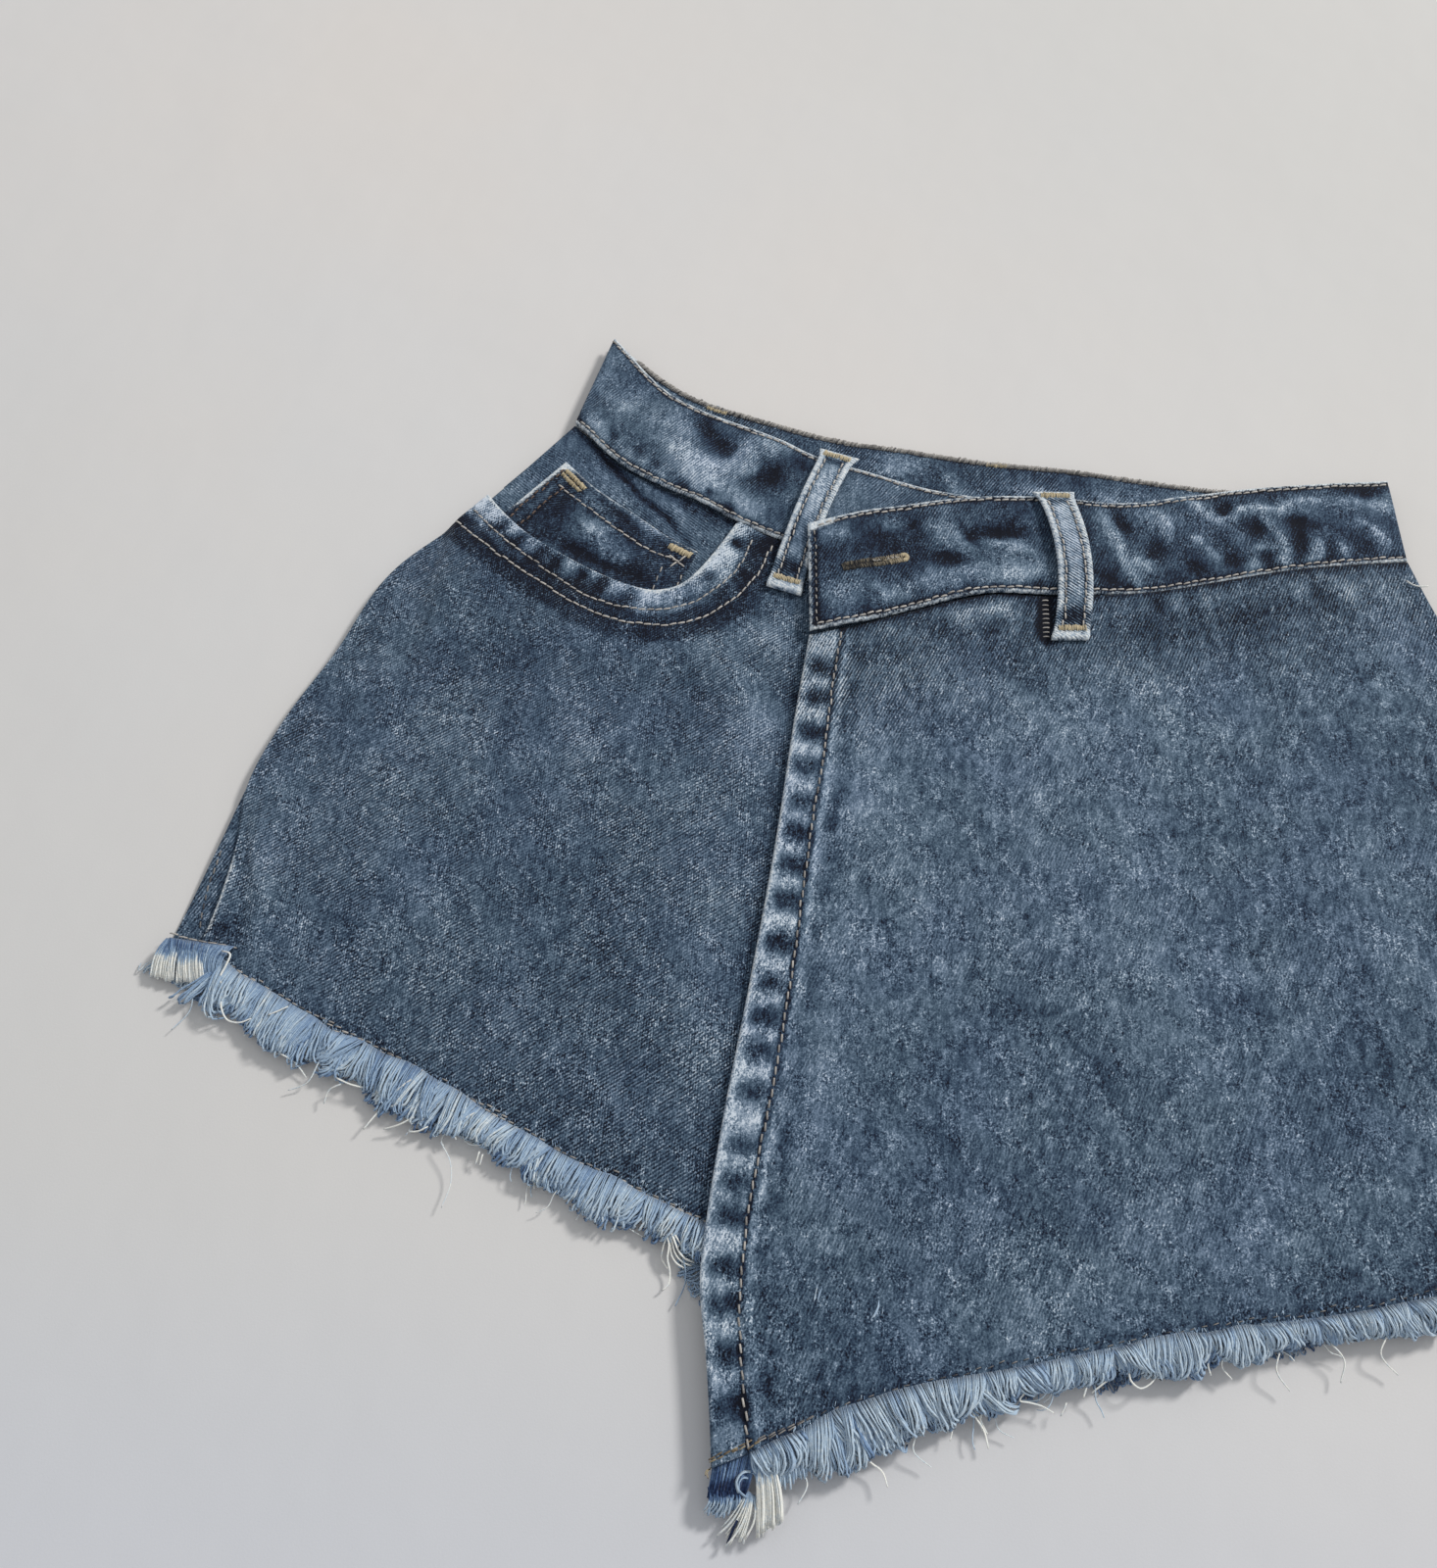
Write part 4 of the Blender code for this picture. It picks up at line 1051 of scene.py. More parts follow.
def wrap_look(x, y, piece):
    _, wear = creases(WRAP_CREASES, x, y)
    ovals, d, a = rope(wrap_edge, x, y, 12.2, PLACKET_OVALS, 4.2, seat=.55, spread=.41)
    turned = sm((12.0 - d) / 1.0)
    low = sm((52 - y) / 16)
    wash = wear + turned * (.43 + .05 * vnoise(a / 9, 0, 3)) * (1 - .55 * low) - .80 * ovals * turned * (1 - .4 * low)
    row = PLACKET_ROW.near(x, y, 12)
    wash = wash - .40 * bell(row[0], 1.1)
    beside = row[0] * np.where(row[2] > 0, 1, 1) * np.where(d > 12.4, 1, 99)
    wash = wash + .24 * bell(beside - 2.6, 1.8) * (.8 + .5 * vnoise(row[1] / 6, 0, 8))
    blots = np.zeros(np.shape(x))
    for c, s in PLACKET_OVALS:
        blots = np.maximum(blots, s * bell(row[1] - c + 2.0, 4.2) * bell(beside - 6.8, 3.0))
    wash = wash - .20 * blots
    beyond = piece.left.near(x, y, 60)[0]
    wash = wash + .09 * bell(beyond - 25, 11) * sm((y - 60) / 60)
    worn = (.46 - .22 * sm((170 - y) / 60)) * bell(d, 1.1) * (1 + .4 * vnoise(a / 6, 0, 7)) + (.24 - .08 * sm((170 - y) / 60)) * turned * (1 - low) * np.clip(1 - 1.6 * ovals, 0, 1)
    hem = piece.hem.near(x, y, 16)[0]
    wash = wash - .14 * bell(hem - 1.8, 2.2) - .05 * bell(hem - 9, 7)
    # painted shade: darker in a thin band just under the waistband's lower edge
    top = piece.top.near(x, y, 62)[0]
    wash = wash - .22 * bell(top, 2.4) - .26 * bell(top, 1.1) - .07 * sm((34 - top) / 22) + .10 * bell(top - 8, 5) * (.5 + vnoise(x / 11, 0, 4))
    wash = wash + .06 * fbm(x, y, 38, 41, 2) + .02 * bell(x - 40, 70)
    # the leg's seam allowance is dark where its serging shows beside the belt loop
    wash = wash - .62 * bell(x - 25.4 - .045 * (316.8 - y), 2.3) * sm((320 - y) / 2) * sm((y - 297) / 3)
    return {"wash": wash, "worn": worn, "twill": 2.6 * sm((60 - top) / 40)}


wrap.relief, wrap.look = wrap_relief, wrap_look
wrap.groove = wrap_groove_rows

# waistbands: a row of stitching 3 mm inside each long edge
# worn ridges (wear > 0) and the dark dye kept between them (wear < 0), as the waistband was folded and rubbed
BAND_CREASES_L = [
    Crease(-18, 320, 26, 328, 1.0, 4.2, 0.20, 0.42),
    Crease(-14, 350, -2, 334, -1.5, 2.2, 0.30, 0.30),
    Crease(-21, 346, -9, 334, 2.0, 2.0, 0.20, 0.22),
    Crease(1, 340, 23, 335, 1.0, 2.4, 0.45, 0.34),
    Crease(-56, 306, -41, 310, 0.0, 4.6, 0.12, 0.30),
    Crease(-58, 333, -45, 337, 0.0, 3.2, 0.12, 0.26),
    Crease(-38, 342, -30, 344, 0.0, 3.2, 0.10, 0.20),
    Crease(-36, 316, -31, 308, 0.0, 1.5, 0.22, 0.24),
    Crease(-28, 318, -31, 308, 0.0, 1.5, 0.22, 0.26),
    Crease(-23, 321, -26, 309, 0.0, 1.7, 0.22, 0.26),
    Crease(-18, 326, -16, 314, 0.0, 2.2, 0.15, 0.20),
    Crease(-7, 340, 16, 346, 0.5, 3.6, -0.55, -0.34),
    Crease(-16, 332, -4, 331, -1.0, 3.2, -0.35, -0.28),
    Crease(-5, 322, -2, 318, 0.0, 2.0, -0.20, -0.20),
    Crease(-26, 350, -22, 332, 0.0, 3.4, -0.25, -0.14),
    Crease(18, 322, 27, 323, 0.0, 2.0, -0.20, -0.25),
    Crease(-40, 336, -26, 331, 0.0, 5.0, -0.10, -0.10),
    Crease(44, 360, 52, 339, 1.0, 1.8, 0.55, 0.34),
    Crease(52, 341, 60, 327, -0.5, 1.8, 0.45, 0.32),
    Crease(55, 341, 64, 335, 0.0, 3.4, 0.20, 0.28),
    # one worn fold wavers along the upper half and sends short folds down to the seam
    Crease(66, 364, 71, 348, 0.6, 1.4, 0.45, 0.36),
    Crease(66, 371, 75.3, 370, 0.4, 1.5, 0.35, 0.30),
    Crease(75.3, 370, 81.5, 365.6, 0.3, 1.3, 0.45, 0.36),
    Crease(81.5, 365.6, 87, 362, 0.0, 1.3, 0.50, 0.40),
    Crease(87, 362, 91.8, 360.7, -0.4, 1.6, 0.50, 0.42),
    Crease(91.8, 360.7, 94.7, 366.1, 0.4, 1.2, 0.55, 0.42),
    Crease(94.7, 366.1, 98.4, 368.5, 0.4, 1.2, 0.50, 0.42),
    Crease(98.4, 368.5, 108.8, 368.7, 0.4, 1.3, 0.45, 0.38),
    Crease(108.8, 368.7, 112.6, 371.8, -0.3, 1.2, 0.50, 0.42),
    Crease(112.6, 371.8, 116.3, 373.5, 0.3, 1.2, 0.50, 0.42),
    Crease(116.3, 373.5, 129, 374.5, 0.5, 1.5, 0.50, 0.42),
    Crease(129, 374.5, 142, 376.4, 0.0, 2.0, 0.45, 0.40),
    Crease(142, 376.4, 153, 376.4, 0.0, 2.4, 0.40, 0.36),
    Crease(75.9, 354.5, 82, 350.7, 0.6, 1.6, 0.45, 0.34),
    Crease(82, 350.7, 87.5, 340.7, 0.9, 1.8, 0.45, 0.36),
    Crease(103.3, 365.4, 108.4, 359.2, -0.4, 1.5, 0.45, 0.36),
    Crease(108.4, 359.2, 111.6, 352.8, 0.5, 1.5, 0.45, 0.36),
    Crease(111.6, 352.8, 111.4, 342.4, 0.6, 1.8, 0.45, 0.42),
    Crease(98.1, 349.7, 106.7, 351.9, 0.4, 1.2, 0.35, 0.32),
    Crease(100.6, 346.9, 99, 338.6, 0.0, 1.7, 0.35, 0.38),
    Crease(125.4, 359.6, 120.5, 345.5, 0.5, 1.8, 0.45, 0.42),
    Crease(132.9, 358.3, 134.5, 349.2, 0.0, 1.4, 0.40, 0.34),
    Crease(137.0, 369, 143, 367.6, 0.0, 1.6, 0.30, 0.24),
    Crease(143, 367.6, 147.6, 356.4, 1.0, 1.5, 0.50, 0.44),
    Crease(92, 354, 97, 358, 0.0, 2.0, 0.20, 0.20),
    Crease(58, 363, 64, 358, 0.0, 3.0, 0.15, 0.18),
    Crease(50, 359, 55, 350, 0.0, 2.6, -0.45, -0.22),
    Crease(65, 350, 67, 340, 0.0, 3.2, -0.40, -0.22),
    Crease(77, 342, 82, 335, 0.0, 3.0, -0.30, -0.30),
    Crease(114.1, 365.6, 122.9, 363.3, 0.0, 2.6, -0.30, -0.24),
    Crease(93.3, 347, 92.4, 340, 0.0, 2.8, -0.30, -0.30),
    Crease(89.4, 367.4, 93.2, 364, 0.0, 1.6, -0.30, -0.26),
    Crease(90, 371, 95, 366, 0.0, 2.6, -0.40, -0.26),
    Crease(97, 359, 105, 362, 0.0, 3.0, -0.40, -0.26),
    Crease(104, 350, 106, 343, 0.0, 2.6, -0.35, -0.24),
    Crease(117, 365, 119, 347, 0.0, 2.8, -0.40, -0.24),
    Crease(128, 355, 129, 347, 0.0, 2.4, -0.30, -0.20),
    Crease(138, 357, 142, 352, 0.0, 3.0, -0.30, -0.20),
    Crease(44, 331, 54, 327, 0.0, 3.0, -0.30, -0.24),
    Crease(67, 331, 77, 334, 0.0, 2.4, -0.20, -0.16),
    Crease(135, 381, 151, 385, 0.0, 3.0, -0.20, -0.18),
]
BAND_CREASES_R = [
    Crease(-119, 374, -109, 362, 0.8, 3.2, 0.40, 0.36),
    Crease(-110, 363, -95, 363, -1.4, 3.4, 0.45, 0.40),
    Crease(-96, 363, -86, 379, -1.0, 3.6, 0.45, 0.38),
    Crease(-87, 377, -70, 376, 0.8, 3.4, 0.25, 0.34),
    Crease(-110, 365, -102, 353, 0.5, 3.2, 0.30, 0.30),
    Crease(-104, 354, -94, 355, 0.0, 3.0, 0.25, 0.26),
    Crease(-91, 352, -80, 342, -0.6, 3.4, 0.30, 0.32),
    Crease(-90, 361, -84, 367, 0.0, 2.6, 0.25, 0.26),
    Crease(-150, 382, -143, 370, 0.0, 2.6, 0.30, 0.22),
    Crease(-131, 371, -133, 362, 0.0, 1.7, 0.40, 0.26),
    Crease(-126, 365, -128, 358, 0.0, 1.7, 0.40, 0.26),
    Crease(-137, 376, -138, 367, 0.0, 1.8, 0.30, 0.18),
    Crease(-119, 360, -121, 352, 0.0, 1.8, 0.30, 0.22),
    Crease(-140, 392, -133, 387, 0.0, 5.0, 0.10, 0.16),
    Crease(-129, 387, -117, 379, 0.0, 5.0, 0.15, 0.18),
    Crease(-117, 385, -111, 377, 0.0, 3.0, 0.10, 0.14),
    Crease(-87, 358, -71, 366, -1.0, 5.2, -0.55, -0.36),
    Crease(-109, 388, -103, 375, 1.0, 3.4, -0.45, -0.34),
    Crease(-102, 378, -92, 371, -1.0, 4.0, -0.50, -0.34),
    Crease(-102, 350, -98, 351, 0.0, 2.6, -0.35, -0.30),
    Crease(-94, 344, -90, 345, 0.0, 2.4, -0.30, -0.28),
    Crease(-133, 366, -129, 371, 0.0, 2.2, -0.45, -0.26),
    Crease(-157, 385, -152, 374, 0.0, 3.2, -0.35, -0.22),
    Crease(-142, 376, -137, 371, 0.0, 2.6, -0.30, -0.22),
    Crease(-124, 360, -121, 364, 0.0, 2.0, -0.35, -0.22),
    Crease(-69, 374, -64, 365, 0.0, 3.2, -0.30, -0.22),
    Crease(-113, 356, -108, 352, 0.0, 2.2, -0.30, -0.20),
]
BAND_CREASES_B = [
    Crease(-92, 385, -74, 372, 1.0, 3.0, 0.30, 0.24),
    Crease(-60, 380, -48, 366, -1.0, 3.0, 0.30, 0.20),
    Crease(-40, 372, -22, 375, 0.5, 3.4, 0.30, 0.22),
    Crease(-12, 374, -4, 352, 1.0, 2.6, 0.35, 0.26),
    Crease(14, 372, 34, 368, -0.8, 3.0, 0.30, 0.24),
    Crease(44, 374, 52, 352, 1.0, 2.4, 0.35, 0.26),
    Crease(66, 370, 92, 372, 0.8, 3.4, 0.25, 0.24),
    Crease(104, 374, 112, 356, -0.8, 2.8, 0.35, 0.24),
    Crease(120, 372, 142, 378, 0.6, 3.2, 0.25, 0.22),
    Crease(-132, 404, -120, 384, 1.0, 3.0, 0.30, 0.22),
    Crease(-70, 360, -50, 352, 0.0, 3.4, -0.35, -0.20),
    Crease(-30, 356, -14, 350, 0.0, 3.0, -0.30, -0.20),
    Crease(22, 356, 38, 352, 0.0, 3.2, -0.30, -0.20),
    Crease(70, 356, 96, 356, 0.0, 3.4, -0.30, -0.20),
    Crease(118, 362, 134, 362, 0.0, 3.0, -0.25, -0.18),
]

def make_band(name, node, S, z, strokes, ends, seed, lift=0.0):
    band = Cloth(name, S, z, BAND)
    band.node = node
    inset = 2.0 if "left" in ends else 1.7
    rows = [band.top.beside(-inset), band.hem.beside(inset)]
    if "left" in ends:
        rows[0] = rows[0].part(inset, rows[0].length)
        rows[1] = rows[1].part(inset, rows[1].length)
        rows.append(band.left.beside(2.6).part(inset, band.left.length - inset))
    band.rows = rows
    cut = groove_of([(r, .8, .42) for r in rows])

    def relief(x, y):
        r, _ = creases(strokes, x, y)
        low = np.minimum(band.hem.near(x, y, 12)[0], 12)
        a = band.hem.near(x, y, 12)[1]
        ripple = .16 * np.sin(a * 2 * np.pi / 5.4 + 2.2 * vnoise(a / 14, 0, seed)) * bell(low, 3.6)
        return .22 * fbm(x, y, 17, seed, 2) + r + ripple + lift

    def look(x, y, piece):
        _, wear = creases(strokes, x, y)
        _, haze = creases([c._replace(width=c.width * 2.1) for c in strokes if c.wear > 0], x, y)
        most = .56 if "left" in ends else .38
        if "left" in ends:
            up = piece.top.near(x, y, 40)[0]
            haze = haze + .42 * bell(up - 10, 11) * sm((x - 36) / 12) * (.75 + .5 * vnoise(x / 9.0, y / 12.0, 77))
        light = most * np.tanh(np.maximum(1.05 * wear + .40 * haze, 0) / most)
        wash = np.where(wear > 0, light, 1.35 * np.minimum(wear, 0) + light) + along_rows(rows, x, y, -.46, .95)
        worn = np.zeros(np.shape(x))
        for line, amount, wide in ((piece.top, .84, .9), (piece.hem, .60, 1.05)) + (((piece.left, .70, .8),) if "left" in ends else ()):
            d, a, _ = line.near(x, y, 10)
            rope_ = 1 + .30 * vnoise(a / 7, 0, seed + 3) + .30 * np.sin((a + .9 * d) * 2 * np.pi / 1.9)
            worn = np.maximum(worn, amount * bell(d - .40, wide) * rope_)
            wash = wash + .12 * bell(d - .5, 1.0)
        if "left" in ends:
            tip = Line([(-63.0, 337.0), (-58.8, 339.6), (-55.4, 341.6)])
            worn = np.maximum(worn, 1.5 * bell(tip.near(x, y, 12)[0], 2.9))
        wash = wash + .10 * fbm(x, y, 21, seed + 5, 2) + .07 * fbm(x, y, 7.5, seed + 9, 2)
        return {"wash": wash, "worn": worn}
    band.relief, band.groove, band.look = relief, cut, look
    return band


band_right = make_band("waistband_right", "waistband_front_right", S_BAND_R, lambda x, y: np.full(np.shape(x), 4.0),
                       BAND_CREASES_R, (), 51)
band_left = make_band("waistband_left", "waistband_front_left", S_BAND_L, z_band_left, BAND_CREASES_L, ("left",), 61)
band_back = make_band("waistband_rear", "waistband_back", S_BAND_B, lambda x, y: np.full(np.shape(x), 1.6),
                      BAND_CREASES_B, (), 71)

facing = Cloth("facing_right", S_FACING, lambda x, y: np.full(np.shape(x), 2.9), 0.9)
facing.node = "pocket_facing_right"
# the first crease is a deep trough whose dark is a painted shadow
FACING_CREASES = [Crease(-148, 371, -101, 327, -1.3, 1.15, -.9, -.50), Crease(-138, 366, -102, 334, -1, 3.2, .5, .24),
                  Crease(-145, 371, -116, 345, -1.3, 6.0, -.2, -.08),
                  Crease(-150, 362, -124, 338, -1, 4.0, .2, .06), Crease(-184, 334, -160, 352, 0, 6.0, .2, .10),
                  Crease(-112, 345, -96, 338, 0, 2.6, -.2, -.12)]
facing.relief = lambda x, y: creases(FACING_CREASES, x, y)[0]
# painted shade: darker just under the waistband's lower edge
facing.look = lambda x, y, c: {"wash": creases(FACING_CREASES, x, y)[1] + .08 * fbm(x, y, 18, 81, 2)
                               - .25 * bell(c.top.near(x, y, 12)[0], 3.5)}

coin = Cloth("coin_pocket_panel", S_COIN, lambda x, y: np.full(np.shape(x), 4.1), 0.9)
coin.node = "coin_pocket"
COIN_CREASES = [Crease(-156, 324, -121, 311, -1, 2.2, -.5, -.42), Crease(-151, 334, -133, 325, 0, 4.6, .3, .34),
                Crease(-141, 342, -120, 330, 0, 2.6, -.1, -.22), Crease(-160, 340, -150, 333, 0, 4.0, -.1, -.16),
                Crease(-147, 346, -138, 339, 0, 3.2, .2, .26), Crease(-134, 320, -124, 317, 0, 4.0, .2, .26),
                Crease(-128, 336, -117, 329, 0, 2.4, .2, .30), Crease(-143, 330, -132, 322, 0, 3.0, .2, .16),
                Crease(-119, 329, -112, 324, 0, 3.0, -.2, -.24), Crease(-124, 312, -118, 303, 0, 4.5, -.25, -.18),
                Crease(-152, 350, -146, 352, 0, 2.4, -.1, -.14), Crease(-166, 334, -160, 326, 0, 4.0, -.2, -.14)]
coin.relief = lambda x, y: creases(COIN_CREASES, x, y)[0]
coin.groove = groove_of([(COIN_ROW, .8, .3)])


def coin_look(x, y, c):
    d, a, _ = c.top.near(x, y, 10)
    dl, al, _ = c.left.near(x, y, 16)
    tip = np.hypot(x + 155.2, y - 358.6)
    side = bell(dl - 8.0, 1.2) + bell(dl - 2.6, .9)
    return {"wash": creases(COIN_CREASES, x, y)[1] + along_rows([COIN_ROW], x, y, -.30, 1.1) + .14 * fbm(x, y, 13, 83, 2)
            + .22 * bell(d - .9, 1.5) - .26 * side - .10 * bell(dl - 5.2, 2.0) * vnoise(al / 4, 0, 5),
            "worn": .62 * bell(d, 1.0) * (1 + .3 * vnoise(a / 5, 0, 2)) + 1.05 * bell(dl, 1.7) * sm((34 - al) / 12)
            + 1.4 * bell(tip, 3.0)}


coin.look = coin_look

# ------------------------------------------------------------------ build the panels
leg.make(MAT["leg"], head_s=EDGE, tail_s=COARSE, step_s=2.4, head_t=[0, .12, .45, 1, 1.8, 2.8, 3.8, 4.8, 5.8, 6.8, 7.8, 8.8, 9.8, 10.8, 11.8, 12.8, 13.8, 14.8, 15.8, 16.8, 17.8, 19, 20.5, 22.5],
         tail_t=EDGE, step_t=2.6)
leg_left.make(MAT["leg"], COARSE, COARSE, 7.0, COARSE, COARSE, 7.0)
wrap.make(MAT["wrap"], head_s=[0, .12, .45, 1, 1.8, 2.7, 3.6, 4.5, 5.5, 6.5, 7.5, 8.5, 9.5, 10.5, 11.2, 12, 12.8, 13.6, 14.6, 15.8, 17.2, 19, 21.5],
          tail_s=COARSE, step_s=2.9, head_t=EDGE, tail_t=EDGE, step_t=2.2)
BAND_T = [0, .12, .45, 1.0, 1.7, 2.4, 3.0, 3.6, 4.4, 5.6]
band_right.make(MAT["band_right"], COARSE, COARSE, 1.4, BAND_T, BAND_T, 1.3)
band_left.make(MAT["band_left"], BAND_T, COARSE, 1.3, BAND_T, BAND_T, 1.2)
band_back.make(MAT["band_back"], COARSE, COARSE, 2.0, BAND_T, BAND_T, 2.2)
facing.make(MAT["facing"], COARSE, COARSE, 2.0, COARSE, COARSE, 1.8)
coin.make(MAT["coin"], EDGE, EDGE, 1.6, FINE, COARSE, 1.6)

# ------------------------------------------------------------------ back of the shorts, seen from below
def seam_look(rows, seed, extra=None, edge_dark=.10):
    def f(x, y, c):
        d = np.minimum(np.minimum(c.left.near(x, y, 12)[0], c.right.near(x, y, 12)[0]),
                       np.minimum(c.top.near(x, y, 12)[0], c.hem.near(x, y, 12)[0]))
        wash = along_rows(rows, x, y, -.22, 1.5) + .07 * fbm(x, y, 30, seed, 2) - edge_dark * bell(d, 2.4)
        worn = np.zeros(np.shape(x))
        if extra:
            more, worn = extra(x, y)
            wash = wash + more
        return {"wash": wash, "worn": worn}
    return f


def felled(edge, reach, seed, size=3.0, dark=.42, light=.16, pitch=9.0):
    """The roped look of a felled or turned edge."""
    ovals = every(3, edge.length - 3, pitch, seed, .14, .55)

    def f(x, y):
        o, d, a = rope(edge, x, y, reach, ovals, size)
        on = sm((reach + .5 - d) / 1.5)
        return on * (light - dark * o), .45 * bell(d, .9) * (1 + .4 * vnoise(a / 6, 0, seed))
    return f


back_parts = []
for tag, S, gores, seed in (("right", S_BACK_R, BACK_RIGHT, 5), ("left", S_BACK_L, BACK_LEFT, 6)):
    c = Cloth("panel_leg_back_" + tag, S, z_back, 1.0, outer="low", node="leg_back_" + tag, inside=.05)
    centre = c.right if tag == "right" else c.left
    hem_row = c.hem.beside(1.6)
    out = -1 if tag == "right" else 1
    rows = [c.top.beside(-1.6), c.top.beside(-8.2), hem_row]
    if tag == "left":
        rows += [c.left.beside(1.6), c.left.beside(8.0)]
    else:
        rows += [Line([(-246.8, 153), (-240.5, 186), (-238.2, 208)]).beside(-5.2)]
    c.rows = rows
    c.groove = groove_of([(r, .8, .28) for r in rows])
    band_a = felled(c.top, 8.4, 90 + seed, dark=.40, light=.14)
    band_b = felled(c.left, 8.2, 95 + seed, dark=.40, light=.14) if tag == "left" else (lambda x, y: (0, 0))

    def extra(x, y, band_a=band_a, band_b=band_b):
        a, b = band_a(x, y), band_b(x, y)
        return a[0] + b[0], np.maximum(a[1], b[1])
    c.look = seam_look(rows, seed, extra)
    c.make(MAT["back"], COARSE if tag == "right" else EDGE, EDGE if tag == "right" else COARSE, 4.5,
           [0, .15, .6, 1.6, 2.6, 4.2, 6.2, 8.2, 9.6], EDGE, 4.5, floor=0.02)
    back_parts.append(c)
for tag, S, seed in (("right", S_YOKE_R, 7), ("left", S_YOKE_L, 8)):
    c = Cloth("panel_yoke_" + tag, S, lambda x, y: np.full(np.shape(x), 1.6), 1.0, outer="low", node="yoke_" + tag, inside=.05)
    c.rows = [c.left.beside(1.6), c.left.beside(8.0)] if tag == "left" else []
    c.groove = groove_of([(r, .8, .28) for r in c.rows]) if c.rows else None
    c.look = seam_look(c.rows, seed)
    c.make(MAT["yoke"], EDGE, EDGE, 4.0, EDGE, COARSE, 4.0)
    back_parts.append(c)


def pocket_map(corners):
    top_out, top_in, low_in, point, low_out = (np.array(p, float) for p in corners)

    def S(s, t):
        s, t = np.broadcast_arrays(np.asarray(s, float), np.asarray(t, float))
        s = s if top_out[0] < top_in[0] else 1 - s
        k = np.minimum(t / .8, 1.0)[..., None]
        a, b = top_out + (low_out - top_out) * k, top_in + (low_in - top_in) * k
        up = a + (b - a) * s[..., None]
        kink = .42
        bottom = np.where(s[..., None] < kink, low_out + (point - low_out) * (s[..., None] / kink),
                          point + (low_in - point) * ((s[..., None] - kink) / (1 - kink)))
        flat = low_out + (low_in - low_out) * s[..., None]
        q = np.clip((t - .25) / .75, 0, 1)[..., None] ** 1.6
        full = t[..., None]
        a2, b2 = top_out + (low_out - top_out) * full, top_in + (low_in - top_in) * full
        return a2 + (b2 - a2) * s[..., None] + (bottom - flat) * q
    return S


for tag, corners, seed in (("right", POCKET_RIGHT, 12), ("left", POCKET_LEFT, 13)):
    c = Cloth("patch_pocket_" + tag, pocket_map(corners), lambda x, y: np.full(np.shape(x), .28), .92, outer="low",
              node="pocket_back_" + tag)
    rim = Line(np.concatenate([c.left.p, c.hem.p[1:], c.right.p[::-1][1:]]), smooth=False)
    inner = [rim.beside(1.8), rim.beside(8.6)]
    inner = [r.part(2.2, r.length - 2.2) for r in inner]
    top_row = c.top.beside(-12.0).part(2.5, c.top.length - 4)
    c.rows = inner + [top_row]
    c.groove = groove_of([(r, .8, .20) for r in c.rows])
    band = felled(rim, 8.8, 30 + seed, size=3.4, dark=.46, light=.18, pitch=9.5)
    c.look = seam_look(c.rows, seed, band, edge_dark=0)
    c.make(MAT["pocket"], FINE, FINE, 3.5, EDGE, FINE, 3.5, floor=0.03)
    c.corners = corners
    back_parts.append(c)

# ------------------------------------------------------------------ belt loops
LOOP_STITCH = (.225, .775)


def make_loop(row, bend=0.0, waist=0.0):
    a, b = np.array([row.x_top, row.y_top], float), np.array([row.x_end, row.y_end], float)
    length = np.linalg.norm(b - a)
    d = (b - a) / length
    n = np.array([-d[1], d[0]])
    back = row.z_root == 0
    straight = strip_map(row.x_top, row.y_top, row.x_end, row.y_end, LOOP_W, bend)

    def S(s, t):
        s, t = np.broadcast_arrays(np.asarray(s, float), np.asarray(t, float))
        c = straight(np.full(s.shape, .5), t)
        w = LOOP_W * (1 - waist * np.sin(np.pi * np.clip((t - .05) / .85, 0, 1)) + .06 * bell(t - .97, .03)
                      + .08 * bell(t, .07) + .14 * bell(t, .03))
        return c + n * ((s - .5) * w)[..., None]

    def share(x, y):
        return ((np.asarray(x) - a[0]) * d[0] + (np.asarray(y) - a[1]) * d[1]) / length

    def z(x, y):
        v = share(x, y)
        if back:
            return np.full(np.shape(x), .22)
        up = mix(row.z_root, row.z_mid + .9, np.sin(np.pi * np.clip(v / .66, 0, 1)) ** .7)
        return np.where(v <= .66, up, mix(row.z_root, row.z_end, sm((v - .66) / .22)))
    c = Cloth(row.name.replace("belt_loop", "loop"), S, z, .95 if back else LOOP_T, outer="low" if back else "top",
              node=row.name)
    rows = [Line(S(np.full(60, s), np.linspace(.055, .93, 60)), smooth=False) for s in LOOP_STITCH]
    c.rows = rows
    tacks = [Line(S(np.array([.12, .88]), np.full(2, v)), smooth=False) for v in (.035, .925)]
    c.tacks = tacks
    cut = groove_of([(r, .75, .22 if back else .38) for r in rows] + [(t, 1.2, .12 if back else .3) for t in tacks])

    def groove(x, y):
        v = share(x, y)
        return cut(x, y) + (0 if back else .35 * bell(v - .975, .022))

    def look(x, y, piece):
        v = share(x, y)
        dl, al, _ = piece.left.near(x, y, 8)
        dr, ar, _ = piece.right.near(x, y, 8)
        side = np.minimum(dl, dr)
        centre = sm((side - 2.6) / 1.2)
        low = bell(v - .850, .060)
        wash = .20 - .16 * v + along_rows(rows, x, y, -.58, .75) + .14 * fbm(x, y, 9, 7, 2)
        wash = wash - (.35 + .65 * centre) * .66 * low - centre * .50 * bell(v - .080, .026)
        worn = .80 * (1 - .75 * low) * bell(side - 1.0, 1.5) * (1 + .35 * vnoise(v * 15, side * 0, 3) + .25 * np.sin(v * 190))
        ends = bell(v - .975, .030) + .9 * bell(v - .012, .022)
        worn = np.maximum(worn, 1.15 * ends * (.8 + .4 * vnoise(x / 2.4, y / 2.4, 5)))
        return {"wash": wash, "worn": worn}
    c.groove, c.look = groove, look
    c.make(MAT["loop"], [0, .12, .45, 1.0, 1.6, 2.2, 2.8, 3.4, 4.0, 4.8], [0, .12, .45, 1.0, 1.6, 2.2, 2.8, 3.4, 4.0, 4.8],
           1.0, [0, .12, .45, 1.0, 1.8, 2.8, 3.8, 5], [0, .12, .45, 1.0, 1.8, 2.8, 3.8, 5], 1.3,
           floor=0.02 if back else None)
    return c


